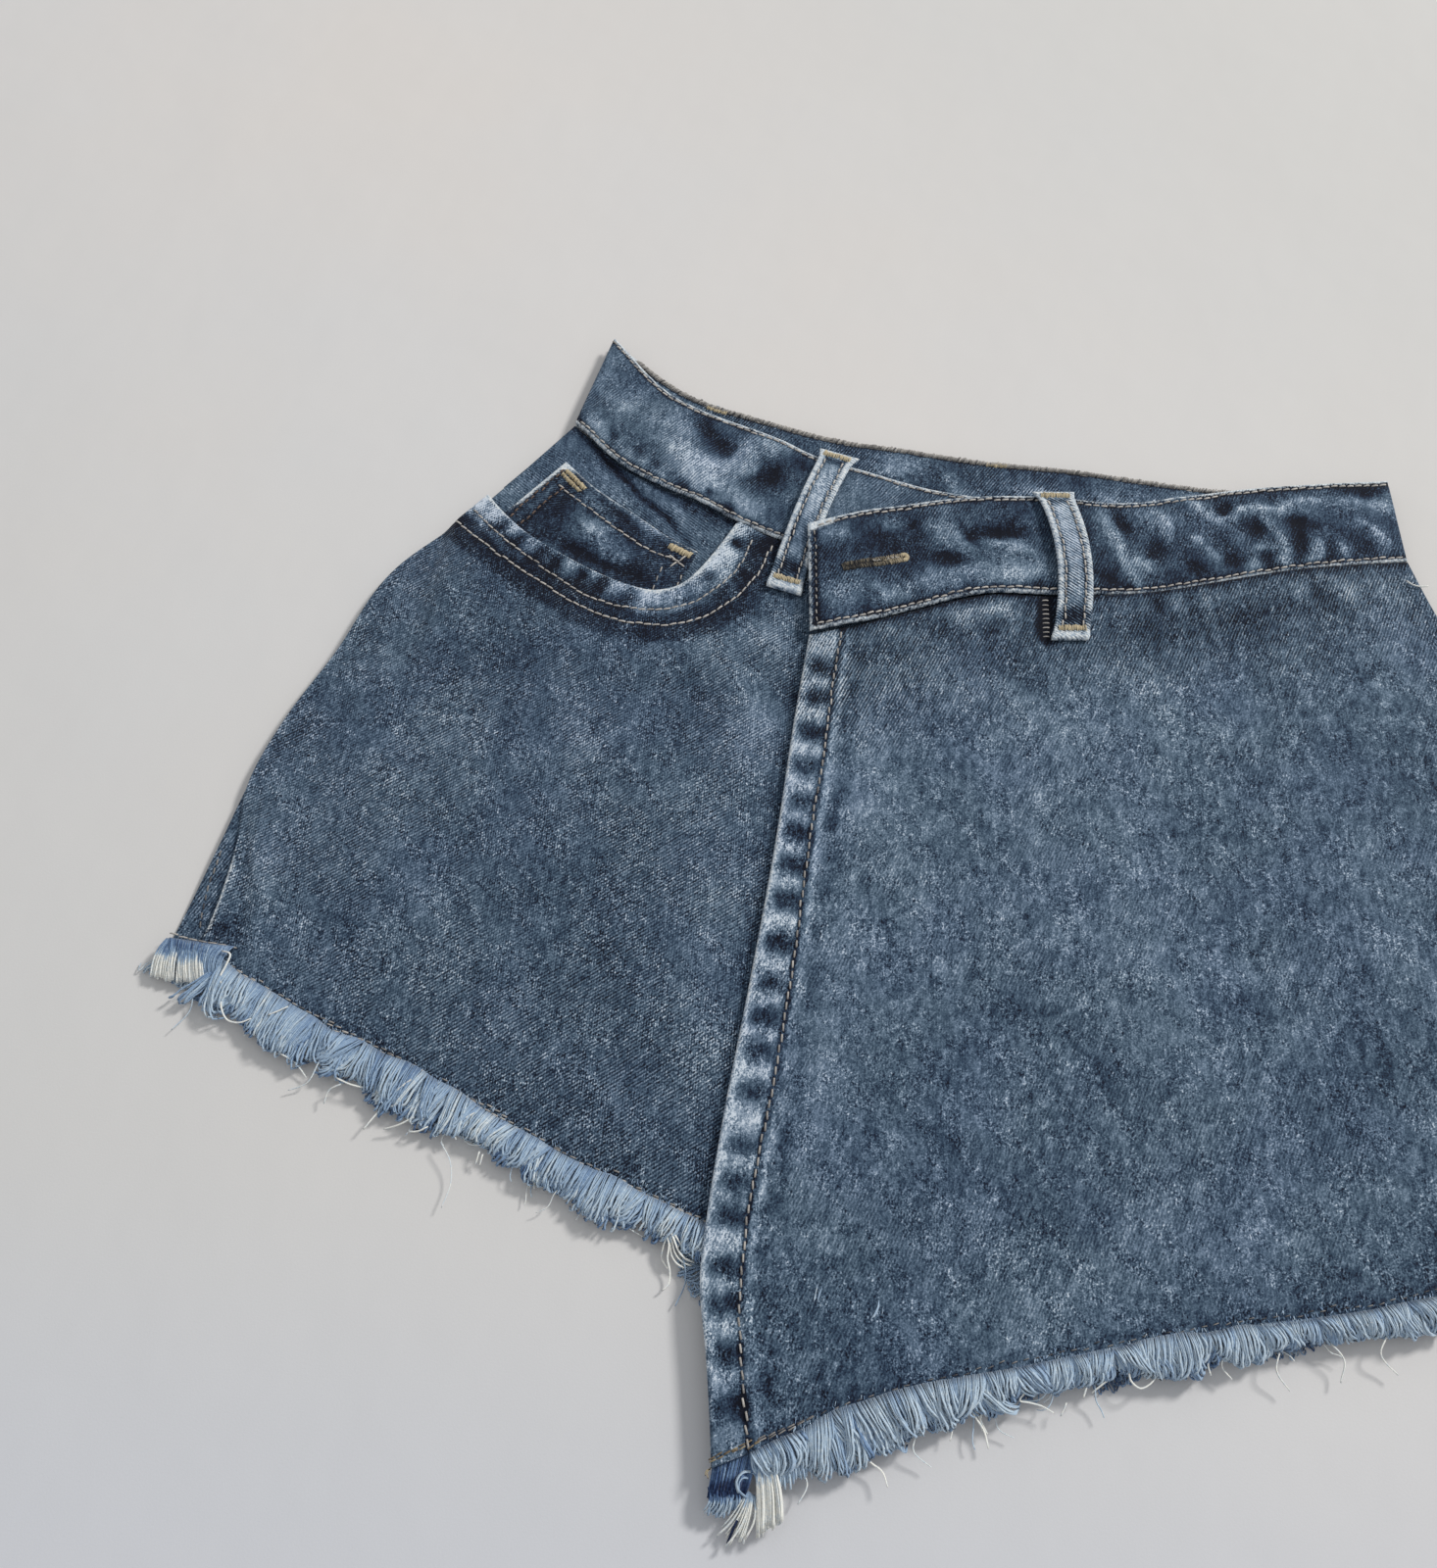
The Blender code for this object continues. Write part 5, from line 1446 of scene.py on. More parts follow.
loops = {}
for row in LOOPS:
    loops[row.name] = make_loop(row, *{"belt_loop_front_left": (4.5, .02), "belt_loop_front_right": (-1.6, .04)}.get(row.name, (0, 0)))

# ------------------------------------------------------------------ stitching
tan = Threads("stitching_front")
gold = Threads("bar_tacks_front")
stitch_row(tan, PLACKET_ROW, wrap.over, 3.45, .74, .40, .62, wobble=.14)
stitch_row(tan, SCOOP_IN, leg.over, 3.0, .92, .34, .80, start=1, stop=1, wobble=.16)
stitch_row(tan, SCOOP_OUT, leg.over, 3.0, .94, .36, .95, start=0, stop=1, wobble=.16)
stitch_row(tan, COIN_ROW, coin.over, 3.0, .92, .34, .80, wobble=.16)
# hems: the chain shows on the turned corner of the wrap, and here and there along the legs
corner = WRAP_HEM_ROW.part(0, 31)
for off, tone in ((0.0, .50), (.50, .25)):
    stitch_row(tan, corner.part(14, 31).beside(off), wrap.over, 2.6, .90, .26, tone, start=0, stop=0, wobble=.20)
    stitch_row(gold, corner.part(0, 15).beside(off), wrap.over, 1.9, .95, .26, tone - .2, start=0, stop=0, wobble=.24)
stitch_row(tan, WRAP_HEM_ROW.part(31, WRAP_HEM_ROW.length), wrap.over, 3.4, .55, .20, .18, wobble=.5)
for off, tone, share in ((-.5, .70, .88), (.3, .46, .74)):
    stitch_row(tan, LEG_HEM_ROW.beside(off), leg.over, 2.7, share, .29, tone, start=12, wobble=.40)
stitch_row(tan, Line([(-240.4, 187), (-241.4, 172), (-240.2, 157)]), back_parts[0].over, 3.0, .74, .26, .35)
stitch_row(tan, Line([(-248.2, 154.6), (-238, 153.2), (-225.5, 152.2)]), lambda x, y: leg.over(x, y) + .5, 3.0, .92, .30, .50,
           start=0, stop=0, wobble=.15)
for band, tone in ((band_left, .76), (band_right, .72)):
    for k, row in enumerate(band.rows):
        stitch_row(tan, row, band.over, 3.05, .86 if k < 2 else .55, .38 if k < 2 else .30, tone + .08 if k < 2 else .5, wobble=.17)
stitch_row(tan, band_back.rows[0], band_back.over, 3.0, .72, .27, .45)
for name, loop in loops.items():
    if "front" in name:
        for row in loop.rows:
            stitch_row(tan, row, loop.over, 2.9, .82, .37, .85, wobble=.18)
        for t in loop.tacks:
            (x0, y0), (x1, y1) = t.p[0], t.p[-1]
            satin(gold, x0, y0, x1, y1, 2.4, loop.over, tone=.96, rise=.42)
# coin pocket: bar tacks, the crossed stitches under its tip, and the rust rows that hold its turned side
satin(gold, -155.2, 355.4, -146.6, 347.4, 1.5, coin.over, tone=.85, rise=.5, radius=.32)
satin(gold, -156.6, 353.6, -148.4, 346.0, 1.3, coin.over, tone=.65, rise=.4, radius=.3)
satin(gold, -111.6, 325.4, -103.0, 321.8, 2.6, coin.over, tone=.85, rise=.5, radius=.32)
for x0, y0, x1, y1 in ((-111.5, 321.6, -104.8, 316.0), (-110.4, 315.6, -104.6, 321.8)):
    stitch_row(tan, Line([(x0, y0), (x1, y1)]), coin.over, 3.0, .8, .34, .9, start=0, stop=0)
stitch_row(tan, Line([(-112.6, 316.5), (-115.2, 303.0)]), coin.over, 3.2, .6, .30, .62, start=0)
stitch_row(tan, Line([(-105.4, 313.5), (-107.4, 303.0)]), coin.over, 3.2, .6, .30, .62, start=0)
rust = Threads("stitching_coin_side")
stitch_row(rust, coin.left.beside(2.6).part(2, 34), coin.over, 2.7, .72, .34, .55, wobble=.25)
stitch_row(rust, coin.left.beside(8.0).part(8, 40), coin.over, 2.7, .72, .34, .45, wobble=.25)
# buttonhole: two sides of purl stitches about a slit, and a rounded golden end; the slit is a near-black tube, painted
# shade of the opening
hole = np.array([(-47.6, 320.0), (-26.2, 328.3)])
hd = (hole[1] - hole[0]) / np.linalg.norm(hole[1] - hole[0])
hn = np.array([-hd[1], hd[0]])
purl, slit = Threads("buttonhole_thread"), Threads("buttonhole_slit_painted_shade")
for side in (1, -1):
    for k in range(4):
        p = mix(hole[0], hole[1], k / 4) + hn * side * 1.0
        q = mix(hole[0], hole[1], (k + 1) / 4) + hn * side * 1.0
        satin(purl, p[0], p[1], q[0], q[1], 1.7, band_left.over, pitch=.46, radius=.24, tone=(.04, .12, .34, .82)[k],
              rise=.32, lean=.25 * side)
satin(purl, *(hole[0] - hd * .5), *(hole[0] + hd * .9), 3.4, band_left.over, pitch=.4, radius=.24, tone=.16, rise=.36)
fan = np.radians(np.linspace(-105, 105, 15))[:, None]
reach = np.array([.35, .7, 1.2, 1.7, 1.95])[None, :]
fx = hole[1][0] + (np.cos(fan) * hd[0] - np.sin(fan) * hd[1]) * reach
fy = hole[1][1] + (np.cos(fan) * hd[1] + np.sin(fan) * hd[0]) * reach
gold.add(np.stack([fx, fy, band_left.over(fx, fy) + np.array([-.1, .25, .38, .25, -.35])], -1), .27,
         np.clip(.74 + rng.normal(0, .1, 15), 0, 1))
# the slit: a near-black tube laid on the band, painted shade of the opening
sl = np.linspace(0, .62, 12)[:, None] * (hole[1] - hole[0]) + hole[0] + hd
slit.add(np.column_stack([sl, band_left.over(sl[:, 0], sl[:, 1]) + .02])[None], .34, [.2])
for k in range(14):
    f = hole[0] + (hole[1] - hole[0]) * rng.uniform(.50, .90)
    d = np.radians(rng.uniform(-70, 250))
    e = f + np.array([[0, 0], [.5, .15], [.9, .5]]) * np.array([np.cos(d), 1.0])
    tan.add(np.column_stack([e, band_left.over(e[:, 0], e[:, 1]) + np.array([.3, .75, .55])])[None], .17,
            [.95])
sl = np.linspace(.64, .97, 8)[:, None] * (hole[1] - hole[0]) + hole[0]
purl.add(np.column_stack([sl, band_left.over(sl[:, 0], sl[:, 1]) + .12])[None], .30, [.9])
for pts in ([(-57.0, 22.8), (-57.9, 21.4), (-57.5, 20.0)], [(-57.2, 22.4), (-58.2, 21.8), (-58.3, 20.6)]):
    e = Line(pts, step=.5)
    gold.add(np.column_stack([e.p, np.full(len(e.p), 6.4)])[None], .22, [.55])
# serging that shows beside the wrap's belt loop
for k in range(9):
    y = 316.8 - 1.95 * k
    x = 25.3 + .045 * (316.8 - y)
    q = np.linspace(-1.25, 1.25, 6)
    px, py = x + q, y + .12 * q + rng.normal(0, .08)
    tan.add(np.stack([px, py, wrap.over(px, py) + np.array([-.2, .16, .24, .24, .16, -.2])], -1)[None], .24,
            [.62 + .30 * (k % 3 == 0)])
# the back waistband's overcast edge
edge = band_back.top.beside(-.9)
for a in np.arange(14.0, edge.length - 6.0, 6.0):
    p, q = edge.at(a), edge.at(a + 6.0)
    satin(tan, p[0], p[1], q[0], q[1], 1.7, band_back.over, pitch=.60, radius=.32, tone=.56, rise=.32, lean=.8)
# bar tacks of the back loops, seen on the inside of the waistband
for x0, y0, x1, y1 in ((-106.7, 394.4, -98.8, 392.4), (2.0, 379.8, 9.8, 379.8)):
    satin(gold, x0, y0, x1, y1, 2.0, band_back.over, tone=.8)

under_tan, under_gold = Threads("stitching_back"), Threads("bar_tacks_back")
for c in back_parts:
    for row in c.rows:
        stitch_row(under_tan, row, c.below, 3.1, .74, .26, .55, flip=True, rise=.10)
    if hasattr(c, "corners"):
        for p, q in ((0, 1), (1, 0)):
            a, b = np.array(c.corners[p], float), np.array(c.corners[q], float)
            u = (b - a) / np.linalg.norm(b - a)
            v = np.array([-u[1], u[0]])
            v = v if v[1] < 0 else -v
            m = a + u * 2.2 + v * 2.0
            satin(under_gold, m[0], m[1], m[0] + u[0] * 7, m[1] + u[1] * 7, 1.9, c.below, tone=.8, rise=.16, radius=.2, flip=True)
for band in (band_back,):
    for row in band.rows:
        stitch_row(under_tan, row, band.below, 3.1, .74, .26, .55, flip=True, rise=.10)
for name, loop in loops.items():
    if "back" in name:
        for row in loop.rows:
            stitch_row(under_tan, row, loop.below, 3.0, .72, .22, .62, flip=True, rise=.08)
        for t in loop.tacks:
            (x0, y0), (x1, y1) = t.p[0], t.p[-1]
            satin(under_gold, x0, y0, x1, y1, 2.0, loop.below, tone=.8, rise=.16, radius=.18, flip=True)
for t, m in ((tan, "stitch"), (rust, "rust"), (purl, "purl"), (slit, "slit"), (gold, "tack"), (under_tan, "stitch"),
             (under_gold, "tack")):
    t.make(MAT[m])


# ------------------------------------------------------------------ frayed hems
def fray(threads, line, z0, z1, length=11.0, pitch=.50, layers=3, tone=.50, s0=0.0, s1=None, lean=0.0, sweep=.26,
         tuft=6.5, puff=1.6, radius=.34, seed=1, K=12, ragged=.07, curl=1.0, under=.15, swell=.16, even=.065, crimp=.12, most=.86, over=1.6):
    """Unravelled yarns below a hem.  They arch up off its edge in soft tufts that lean, fan and overlap, each its own
    way, and curl under at their ends."""
    s1 = line.length if s1 is None else s1
    q = np.linspace(0, 1, K)[None, :]
    out = np.sin(np.pi / 2 * np.minimum(q / .84, 1)) ** .9
    back = sm((q - .82) / .18)
    r = np.random.default_rng(seed)
    for layer in range(layers):
        top = layer == layers - 1
        edges = [s0 - r.uniform(0, tuft * .6)]
        while edges[-1] < s1:
            edges.append(edges[-1] + tuft * r.uniform(.45, 1.7))
        for a, b in zip(edges[:-1], edges[1:]):
            wide = b - a
            n = max(4, int(wide * 1.15 / pitch))
            u = np.clip((np.arange(n) + r.uniform(0, 1, n)) / n, 0, 1) * 2 - 1
            s = (a + b) / 2 + u * wide * .54
            keep = (s >= s0) & (s <= s1)
            s, u, n = s[keep], u[keep], int(keep.sum())
            if n < 2:
                continue
            p, h = line.at(s), line.heading(s)
            full = length(p[:, 0]) if callable(length) else length
            big = 1 + swell * 1.5 * vnoise(s / 9.0, s * 0, seed) + swell * vnoise(s / 23.0, s * 0, seed + 1)
            L = full * big * (1 + r.normal(0, .07)) * (1 + .08 * (1 - u * u) + r.normal(0, ragged, n)) * (1 - .05 * layer)
            inside = (over + np.clip(big - 1, -.4, .6) / max(swell, .01) * .5)[:, None] if top else .8
            fold = under * r.uniform(.4, 1.4, (n, 1))
            far = -inside + (L[:, None] + inside) * (out - fold * back)
            side = lean + r.normal(0, sweep) + r.normal(0, .05, n)
            bow = curl * r.uniform(-1.3, 1.3)
            lat = (L * side)[:, None] * q + bow * np.sin(np.pi * q) - (r.uniform(-.16, .34) * u * wide / 2)[:, None] * sm(q)
            lat += r.normal(0, .55, (n, 1)) * back + np.cumsum(r.normal(0, crimp, (n, K)), 1) * np.minimum(q * 3, 1)
            lat += .16 * np.sin(r.uniform(0, 6.3, (n, 1)) + q * L[:, None] * 1.3) * np.minimum(q * 3, 1)
            x = p[:, :1] + h[:, :1] * lat + h[:, 1:] * far
            y = p[:, 1:] + h[:, 1:] * lat - h[:, :1] * far
            base = z0(p[:, 0], p[:, 1])[:, None] + (.75 if top and puff > 1 else 0)
            z = mix(base, z1, sm(q * 1.02)) + (.35 * layer) * np.minimum(q * 6, 1) - .9 * back * min(puff, 1)
            dome = r.uniform(.6, 1.3) * (1 - .5 * u * u)
            z = z + (puff * dome + r.normal(0, .2, n))[:, None] * np.sin(np.pi * np.minimum(q * 1.05, 1)) ** .8
            z = np.maximum(z + r.normal(0, .07, (n, K)) * np.minimum(q * 3, 1), .3)
            # painted shade: tone falls off at a tuft's sides and on the lowest layer, between and under the other yarns
            tones = (tone + r.normal(0, .05) + .10 * vnoise(s / 2.4, s * 0, seed + 5 + layer) + r.normal(0, even, n)
                     - .14 * np.abs(u) ** 4 - (.20 if layer == 0 else 0))[:, None]
            threads.add(np.stack([x, y, z], -1), radius * r.uniform(.7, 1.25, (n, 1)) * (1 - .15 * back),
                        np.minimum(tones + .10 * np.sin(np.pi * q) - .10 * back, most))


def yarn(threads, pts, z0, z1, tone=.97, radius=.27, step=.8):
    """One loose thread through points of the pattern, from height z0 to z1."""
    line = Line(pts, step=step)
    q = np.linspace(0, 1, max(6, int(line.length / step)))
    p = line.at(q * line.length)
    z = mix(z0, z1, sm(q)) + .25 * np.sin(q * line.length / 2.3)
    threads.add(np.column_stack([p, np.maximum(z, .3)])[None], (radius * (1 - .25 * q ** 5))[None], [tone])


def stray(threads, x, y, z, heading, length, turn, wave=.5, tone=.92, radius=.23, rest=.35, K=20):
    """One thread that leaves at heading (degrees) and turns by turn degrees on its way."""
    q = np.linspace(0, 1, K)
    a = np.radians(heading + turn * q + 28 * wave * np.sin(2 * np.pi * (q * 1.4 + rng.uniform(0, 1))))
    step = length / (K - 1)
    px = x + np.concatenate([[0], np.cumsum(np.cos(a[:-1]) * step)])
    py = y + np.concatenate([[0], np.cumsum(np.sin(a[:-1]) * step)])
    pz = mix(z, rest, sm(q * 1.4)) + .4 * np.abs(np.sin(np.pi * q * 2)) * (1 - q)
    threads.add(np.stack([px, py, np.maximum(pz, radius)], -1)[None], radius * (1 - .3 * q[None] ** 4), [tone])


def brush(threads, root, end, n, z0, z1, tone=.45, tip=.99, white=.5, radius=.30, bend=.5, arch=.6, K=9, ragged=.03):
    """A bunch of yarns from the line root to the line end, cut bluntly; past white of its length it is undyed."""
    q = np.linspace(0, 1, K)[None, :]
    k = np.clip((np.arange(n) + rng.uniform(0, 1, n)) / n, 0, 1)[:, None]
    r0, r1 = np.array(root[:2]), np.array(root[2:])
    e0, e1 = np.array(end[:2]), np.array(end[2:])
    a, b = r0 + (r1 - r0) * k, e0 + (e1 - e0) * k
    b = b + (b - a) * rng.normal(0, ragged, (n, 1)) + rng.normal(0, .2, (n, 2))
    d = (b - a) / np.linalg.norm(b - a, axis=1, keepdims=True)
    off = bend * np.sin(np.pi * q) * (1 + rng.normal(0, .5, (n, 1)))
    x = a[:, :1] + (b - a)[:, :1] * q - d[:, 1:] * off
    y = a[:, 1:] + (b - a)[:, 1:] * q + d[:, :1] * off
    z = mix(z0, z1, sm(q)) + (arch + rng.uniform(0, .7, (n, 1))) * np.sin(np.pi * q * .85)
    tones = mix(tone + rng.normal(0, .10, (n, 1)), tip + rng.normal(0, .03, (n, 1)),
                sm((q - white - rng.normal(0, .05, (n, 1))) / .14 + .5))
    threads.add(np.stack([x, y, np.maximum(z, .3)], -1), radius * rng.uniform(.8, 1.2, (n, 1)) * np.ones((1, K)), tones)


def slubs(threads, line, over, n, s0, s1, near=.4, far=4.2):
    """Short ends of broken yarn that stand on the cloth just inside a hem."""
    s, f = rng.uniform(s0, s1, n), near + (far - near) * rng.uniform(0, 1, n) ** 2.2
    p, h = line.at(s), line.heading(s)
    x0, y0 = p[:, 0] - h[:, 1] * f, p[:, 1] + h[:, 0] * f
    a = np.radians(rng.normal(96, 24, n))
    q = np.linspace(0, 1, 4)[None, :]
    L = rng.uniform(.6, 1.4, n)[:, None]
    x, y = x0[:, None] + np.cos(a)[:, None] * L * q, y0[:, None] + np.sin(a)[:, None] * L * q
    z = over(x, y) + .10 + .12 * np.sin(np.pi * q)
    threads.add(np.stack([x, y, z], -1), .15, rng.uniform(.4, .8, n))


def base_of(c, add=.35):
    return lambda x, y: c.under(x, y) + add


def leg_length(x):
    return mix(11.6, 9.4, sm((np.asarray(x) + 140) / 22))


def wrap_length(x):
    return 7.4 + 2.6 * bell(np.asarray(x) + 22, 13) + 1.4 * bell(np.asarray(x) - 44, 9)


def back_length(x):
    x = np.asarray(x, float)
    return 1.0 + 8.2 * sm((-212 - x) / 14) + 7.0 * sm((x + 73) / 8)


hem = {}
for key, c, node, kw in (
        ("wrap", wrap, "fringe_wrap", dict(z1=3.2, length=wrap_length, pitch=.48, puff=2.3, tone=.70, s0=11, lean=.06, sweep=.36, tuft=5.5, radius=.42, curl=1.7, seed=11, even=.045, most=.77, swell=.20, over=.4)),
        ("front_right", leg, "fringe_front_right", dict(z1=2.3, length=leg_length, puff=1.6, tone=.63, s0=9, lean=-.02, sweep=.27, tuft=4.4, radius=.35, seed=23, crimp=.17, curl=1.3)),
        ("front_left", leg_left, "fringe_front_left", dict(z1=1.7, length=8.0, pitch=1.2, layers=2, puff=.3)),
        ("back_right", back_parts[0], "fringe_back_right", dict(z1=.6, length=back_length, pitch=.52, layers=2, puff=.4, tone=.68, lean=-.12, radius=.30, seed=37, crimp=.17)),
        ("back_left", back_parts[1], "fringe_back_left", dict(z1=.6, length=9.0, pitch=.55, layers=2, puff=.4, tone=.50, radius=.27, seed=41))):
    t = Threads("fray_" + key, 3)
    fray(t, c.hem, base_of(c), **kw)
    hem[key] = t
    t.node = node

t = hem["front_right"]
# the step at the side seam: two bunches with undyed ends, one without, and a long looping thread
brush(t, (-248.4, 152.6, -243.6, 152.9), (-250.2, 140.4, -242.6, 139.4), 44, 4.0, 2.2, .44, .97, .44, .30, -.6)
brush(t, (-243.2, 152.6, -236.2, 152.0), (-241.6, 139.5, -232.4, 139.9), 52, 4.2, 2.4, .50, .98, .46, .30, -.5)
brush(t, (-236.0, 152.2, -226.5, 152.6), (-234.6, 142.4, -228.6, 141.8), 60, 4.3, 2.6, .46, .56, .50, .27, -1.2)
brush(t, (-247.6, 153.0, -229.0, 152.6), (-246.0, 146.8, -231.0, 146.4), 70, 4.0, 3.2, .34, .50, .60, .26, .2)
YARNS = [
    ([(-229.2, 150.1), (-226.3, 149.5), (-226.6, 145.8), (-227.5, 142.0), (-225.4, 137.7), (-224.5, 132.3),
      (-221.6, 128.6), (-217.6, 128.2), (-213.8, 130.2)], 5.6, 4.4, .98, .36),
    ([(-209.3, 131.4), (-206.5, 133.0), (-203.7, 135.0)], 5.2, 5.2, .97, .33),
    ([(-202.8, 120.4), (-197.4, 118.1), (-193.4, 114.4)], 4.0, 2.0, .96, .30),
    ([(-236.2, 139.6), (-234.8, 131.5), (-238.9, 124.1)], 3.0, 1.6, .80, .20),
    ([(-183.7, 114.9), (-178.1, 113.3), (-173.5, 113.4), (-172.0, 114.5)], 4.4, 4.8, .98, .34),
    ([(-181.6, 113.4), (-185.2, 111.1), (-186.1, 107.2)], 4.2, 2.4, .96, .28),
    ([(-160.8, 117.2), (-164.1, 113.5), (-167.2, 108.9), (-169.3, 105.9), (-172.2, 100.9)], 5.0, 2.8, .98, .34),
    ([(-157.5, 106.2), (-161.0, 103.8), (-166.2, 101.8)], 4.4, 3.2, .98, .32),
    ([(-158.8, 101.9), (-155.3, 102.3), (-152.8, 103.9)], 3.2, 4.2, .98, .32),
    ([(-139.7, 109.6), (-142.8, 106.9), (-144.8, 103.0), (-143.9, 101.3)], 4.9, 3.8, .98, .32),
    ([(-148.3, 100.0), (-144.5, 95.1), (-143.0, 88.2), (-144.2, 81.4)], 3.2, 2.2, .90, .22),
    ([(-136.2, 98.8), (-136.9, 95.0)], 3.6, 2.2, .98, .30), ([(-135.1, 98.1), (-135.6, 94.8)], 3.6, 2.2, .98, .30),
    ([(-120.4, 94.8), (-119.7, 90.3)], 3.4, 2.0, .96, .28), ([(-118.8, 94.1), (-118.3, 90.2)], 3.4, 2.0, .96, .28),
    ([(-106.0, 92.0), (-103.0, 87.4), (-104.6, 83.0)], 3.4, 2.0, .92, .24),
    ([(-92.0, 88.0), (-89.4, 83.0), (-84.0, 80.6)], 3.4, 2.4, .95, .26),
    # a fan of undyed yarns beside the wrap
    ([(-77.0, 83.5), (-75.5, 80.8), (-73.6, 77.7), (-71.4, 75.9), (-68.8, 75.3)], 4.6, 3.4, .99, .40),
    ([(-77.2, 83.0), (-75.9, 80.2), (-74.2, 76.6), (-71.8, 74.9), (-69.4, 74.3)], 4.3, 3.0, .98, .38),
    ([(-77.6, 82.4), (-76.4, 79.8), (-75.3, 76.1), (-73.6, 74.3), (-71.1, 73.5)], 4.0, 2.8, .99, .38),
    ([(-77.8, 82.0), (-76.6, 79.1), (-76.6, 75.5), (-75.4, 72.0), (-75.4, 68.4), (-77.0, 66.6)], 4.2, 1.6, .98, .36),
    ([(-77.0, 82.6), (-78.2, 78.3), (-78.2, 75.3), (-76.2, 72.9)], 3.8, 1.8, .98, .34),
    ([(-76.2, 83.0), (-72.4, 78.9), (-69.8, 77.1), (-67.5, 76.8)], 4.4, 3.2, .99, .36),
    ([(-73.0, 79.0), (-70.6, 70.0), (-72.6, 63.0)], 3.0, 1.4, .62, .26),
    ([(-214.0, 136.0), (-212.0, 130.4), (-216.0, 125.0)], 4.2, 2.2, .90, .24),
    ([(-190.0, 120.0), (-192.4, 113.0), (-198.0, 110.0)], 4.0, 2.0, .90, .24),
]
for pts, za, zb, tone, radius in YARNS:
    yarn(t, pts, za, zb, tone, radius)
for k in range(16):
    s = rng.uniform(14, leg.hem.length - 4)
    p, h = leg.hem.at(s), leg.hem.heading(s)
    out = math.degrees(math.atan2(-h[0], h[1]))
    f = rng.uniform(3, 9)
    stray(t, p[0] + h[1] * f, p[1] - h[0] * f, 3.6, out + rng.normal(-10, 36), rng.uniform(5, 13), rng.normal(0, 90),
          rng.uniform(.1, .6), rng.uniform(.74, 1.0), rng.uniform(.18, .26), rng.uniform(.6, 3.0))
slubs(t, leg.hem, leg.over, 460, 12, leg.hem.length - 2, .6, 3.4)

t = hem["wrap"]
# the wrap's corner: a dark flap of its facing, its short fringe, and undyed warp ends
brush(t, (-56.4, 26.2, -44.8, 31.0), (-57.2, 16.0, -47.0, 17.4), 70, 4.6, 4.9, .30, .02, .72, .42, .1, .3, ragged=.06)
brush(t, (-57.3, 18.0, -48.6, 18.6), (-56.8, 11.8, -48.2, 13.6), 50, 5.2, 3.4, .06, .60, .42, .34, .4, .5, ragged=.10)
brush(t, (-56.6, 16.0, -50.2, 16.4), (-57.8, 12.6, -51.4, 11.4), 16, 5.5, 3.6, .40, .74, .30, .26, .4, .6, ragged=.16)
brush(t, (-45.4, 26.4, -40.6, 26.2), (-43.2, 8.2, -36.6, 12.6), 66, 5.8, 3.4, .60, .99, .24, .36, .5, .9)
brush(t, (-46.8, 18.6, -44.6, 17.4), (-52.4, 9.2, -45.2, 7.2), 26, 5.2, 2.6, .62, .97, .22, .32, .9, .5, ragged=.16)
brush(t, (-44.6, 28.4, -36.0, 32.6), (-40.6, 20.2, -31.0, 24.6), 60, 6.4, 3.8, .46, .70, .40, .36, 1.0, 1.2, ragged=.10)
yarn(t, [(-48.4, 11.8), (-49.4, 9.0), (-50.6, 5.4)], 4.4, 2.2, .0, .50)
yarn(t, [(-48.9, 17.6), (-49.8, 20.4), (-48.0, 22.8), (-45.2, 22.6), (-44.4, 20.0)], 6.2, 5.6, .74, .46)
yarn(t, [(-46.6, 16.8), (-49.0, 18.4), (-48.6, 21.2), (-46.0, 21.4)], 5.8, 5.6, .66, .40)
yarn(t, [(-45.8, 26.9), (-44.4, 25.4), (-43.2, 23.6)], 6.6, 6.0, .80, .40)
YARNS = [
    ([(-19.6, 36.4), (-17.5, 31.7), (-14.4, 29.4), (-11.3, 27.7), (-9.5, 24.0)], 5.0, 3.6, .99, .36),
    ([(9.2, 49.0), (13.1, 44.1), (15.5, 41.3), (17.0, 37.0)], 5.2, 3.0, .99, .40),
    ([(10.2, 49.0), (14.2, 44.2), (16.6, 40.6)], 5.2, 3.0, .98, .34),
    ([(17.1, 47.7), (14.5, 45.1), (15.1, 41.2)], 4.6, 3.2, .97, .30),
    ([(26.3, 52.6), (24.5, 49.9), (27.2, 49.8), (31.0, 49.4), (34.2, 48.1)], 5.2, 4.2, .98, .32),
    ([(22.0, 50.0), (18.6, 47.0), (19.4, 42.4), (24.0, 40.6)], 4.2, 2.4, .90, .24),
    ([(42.9, 56.4), (42.1, 53.0)], 5.0, 4.0, .98, .36), ([(48.5, 58.4), (44.4, 54.6)], 5.2, 4.0, .99, .34),
    ([(54.4, 62.6), (54.6, 59.0), (57.4, 57.2), (60.2, 58.8), (62.5, 61.8)], 5.6, 5.2, .99, .34),
    ([(72.3, 67.4), (70.9, 63.6)], 5.0, 4.0, .98, .32), ([(78.6, 70.4), (76.1, 66.1), (77.0, 63.2)], 5.6, 4.4, .99, .36),
    ([(81.0, 70.0), (80.0, 66.0), (83.0, 63.0)], 5.0, 3.8, .97, .30),
    ([(37.5, 51.2), (36.1, 47.6)], 4.6, 3.4, .95, .28),
    ([(96.0, 72.0), (95.0, 67.0), (99.0, 62.0)], 5.0, 3.4, .96, .28),
    ([(110.0, 76.0), (114.0, 71.6), (113.0, 66.0)], 5.0, 3.2, .97, .30),
    ([(126.0, 80.0), (124.0, 75.0), (129.0, 70.0)], 5.0, 3.2, .97, .30),
    ([(-34.0, 27.0), (-31.0, 22.0), (-33.0, 17.0)], 4.6, 3.0, .93, .28),
    ([(-2.0, 40.0), (-3.4, 34.0), (2.0, 30.4)], 4.6, 3.0, .93, .26),
]
for pts, za, zb, tone, radius in YARNS:
    yarn(t, pts, za, zb, tone, radius)
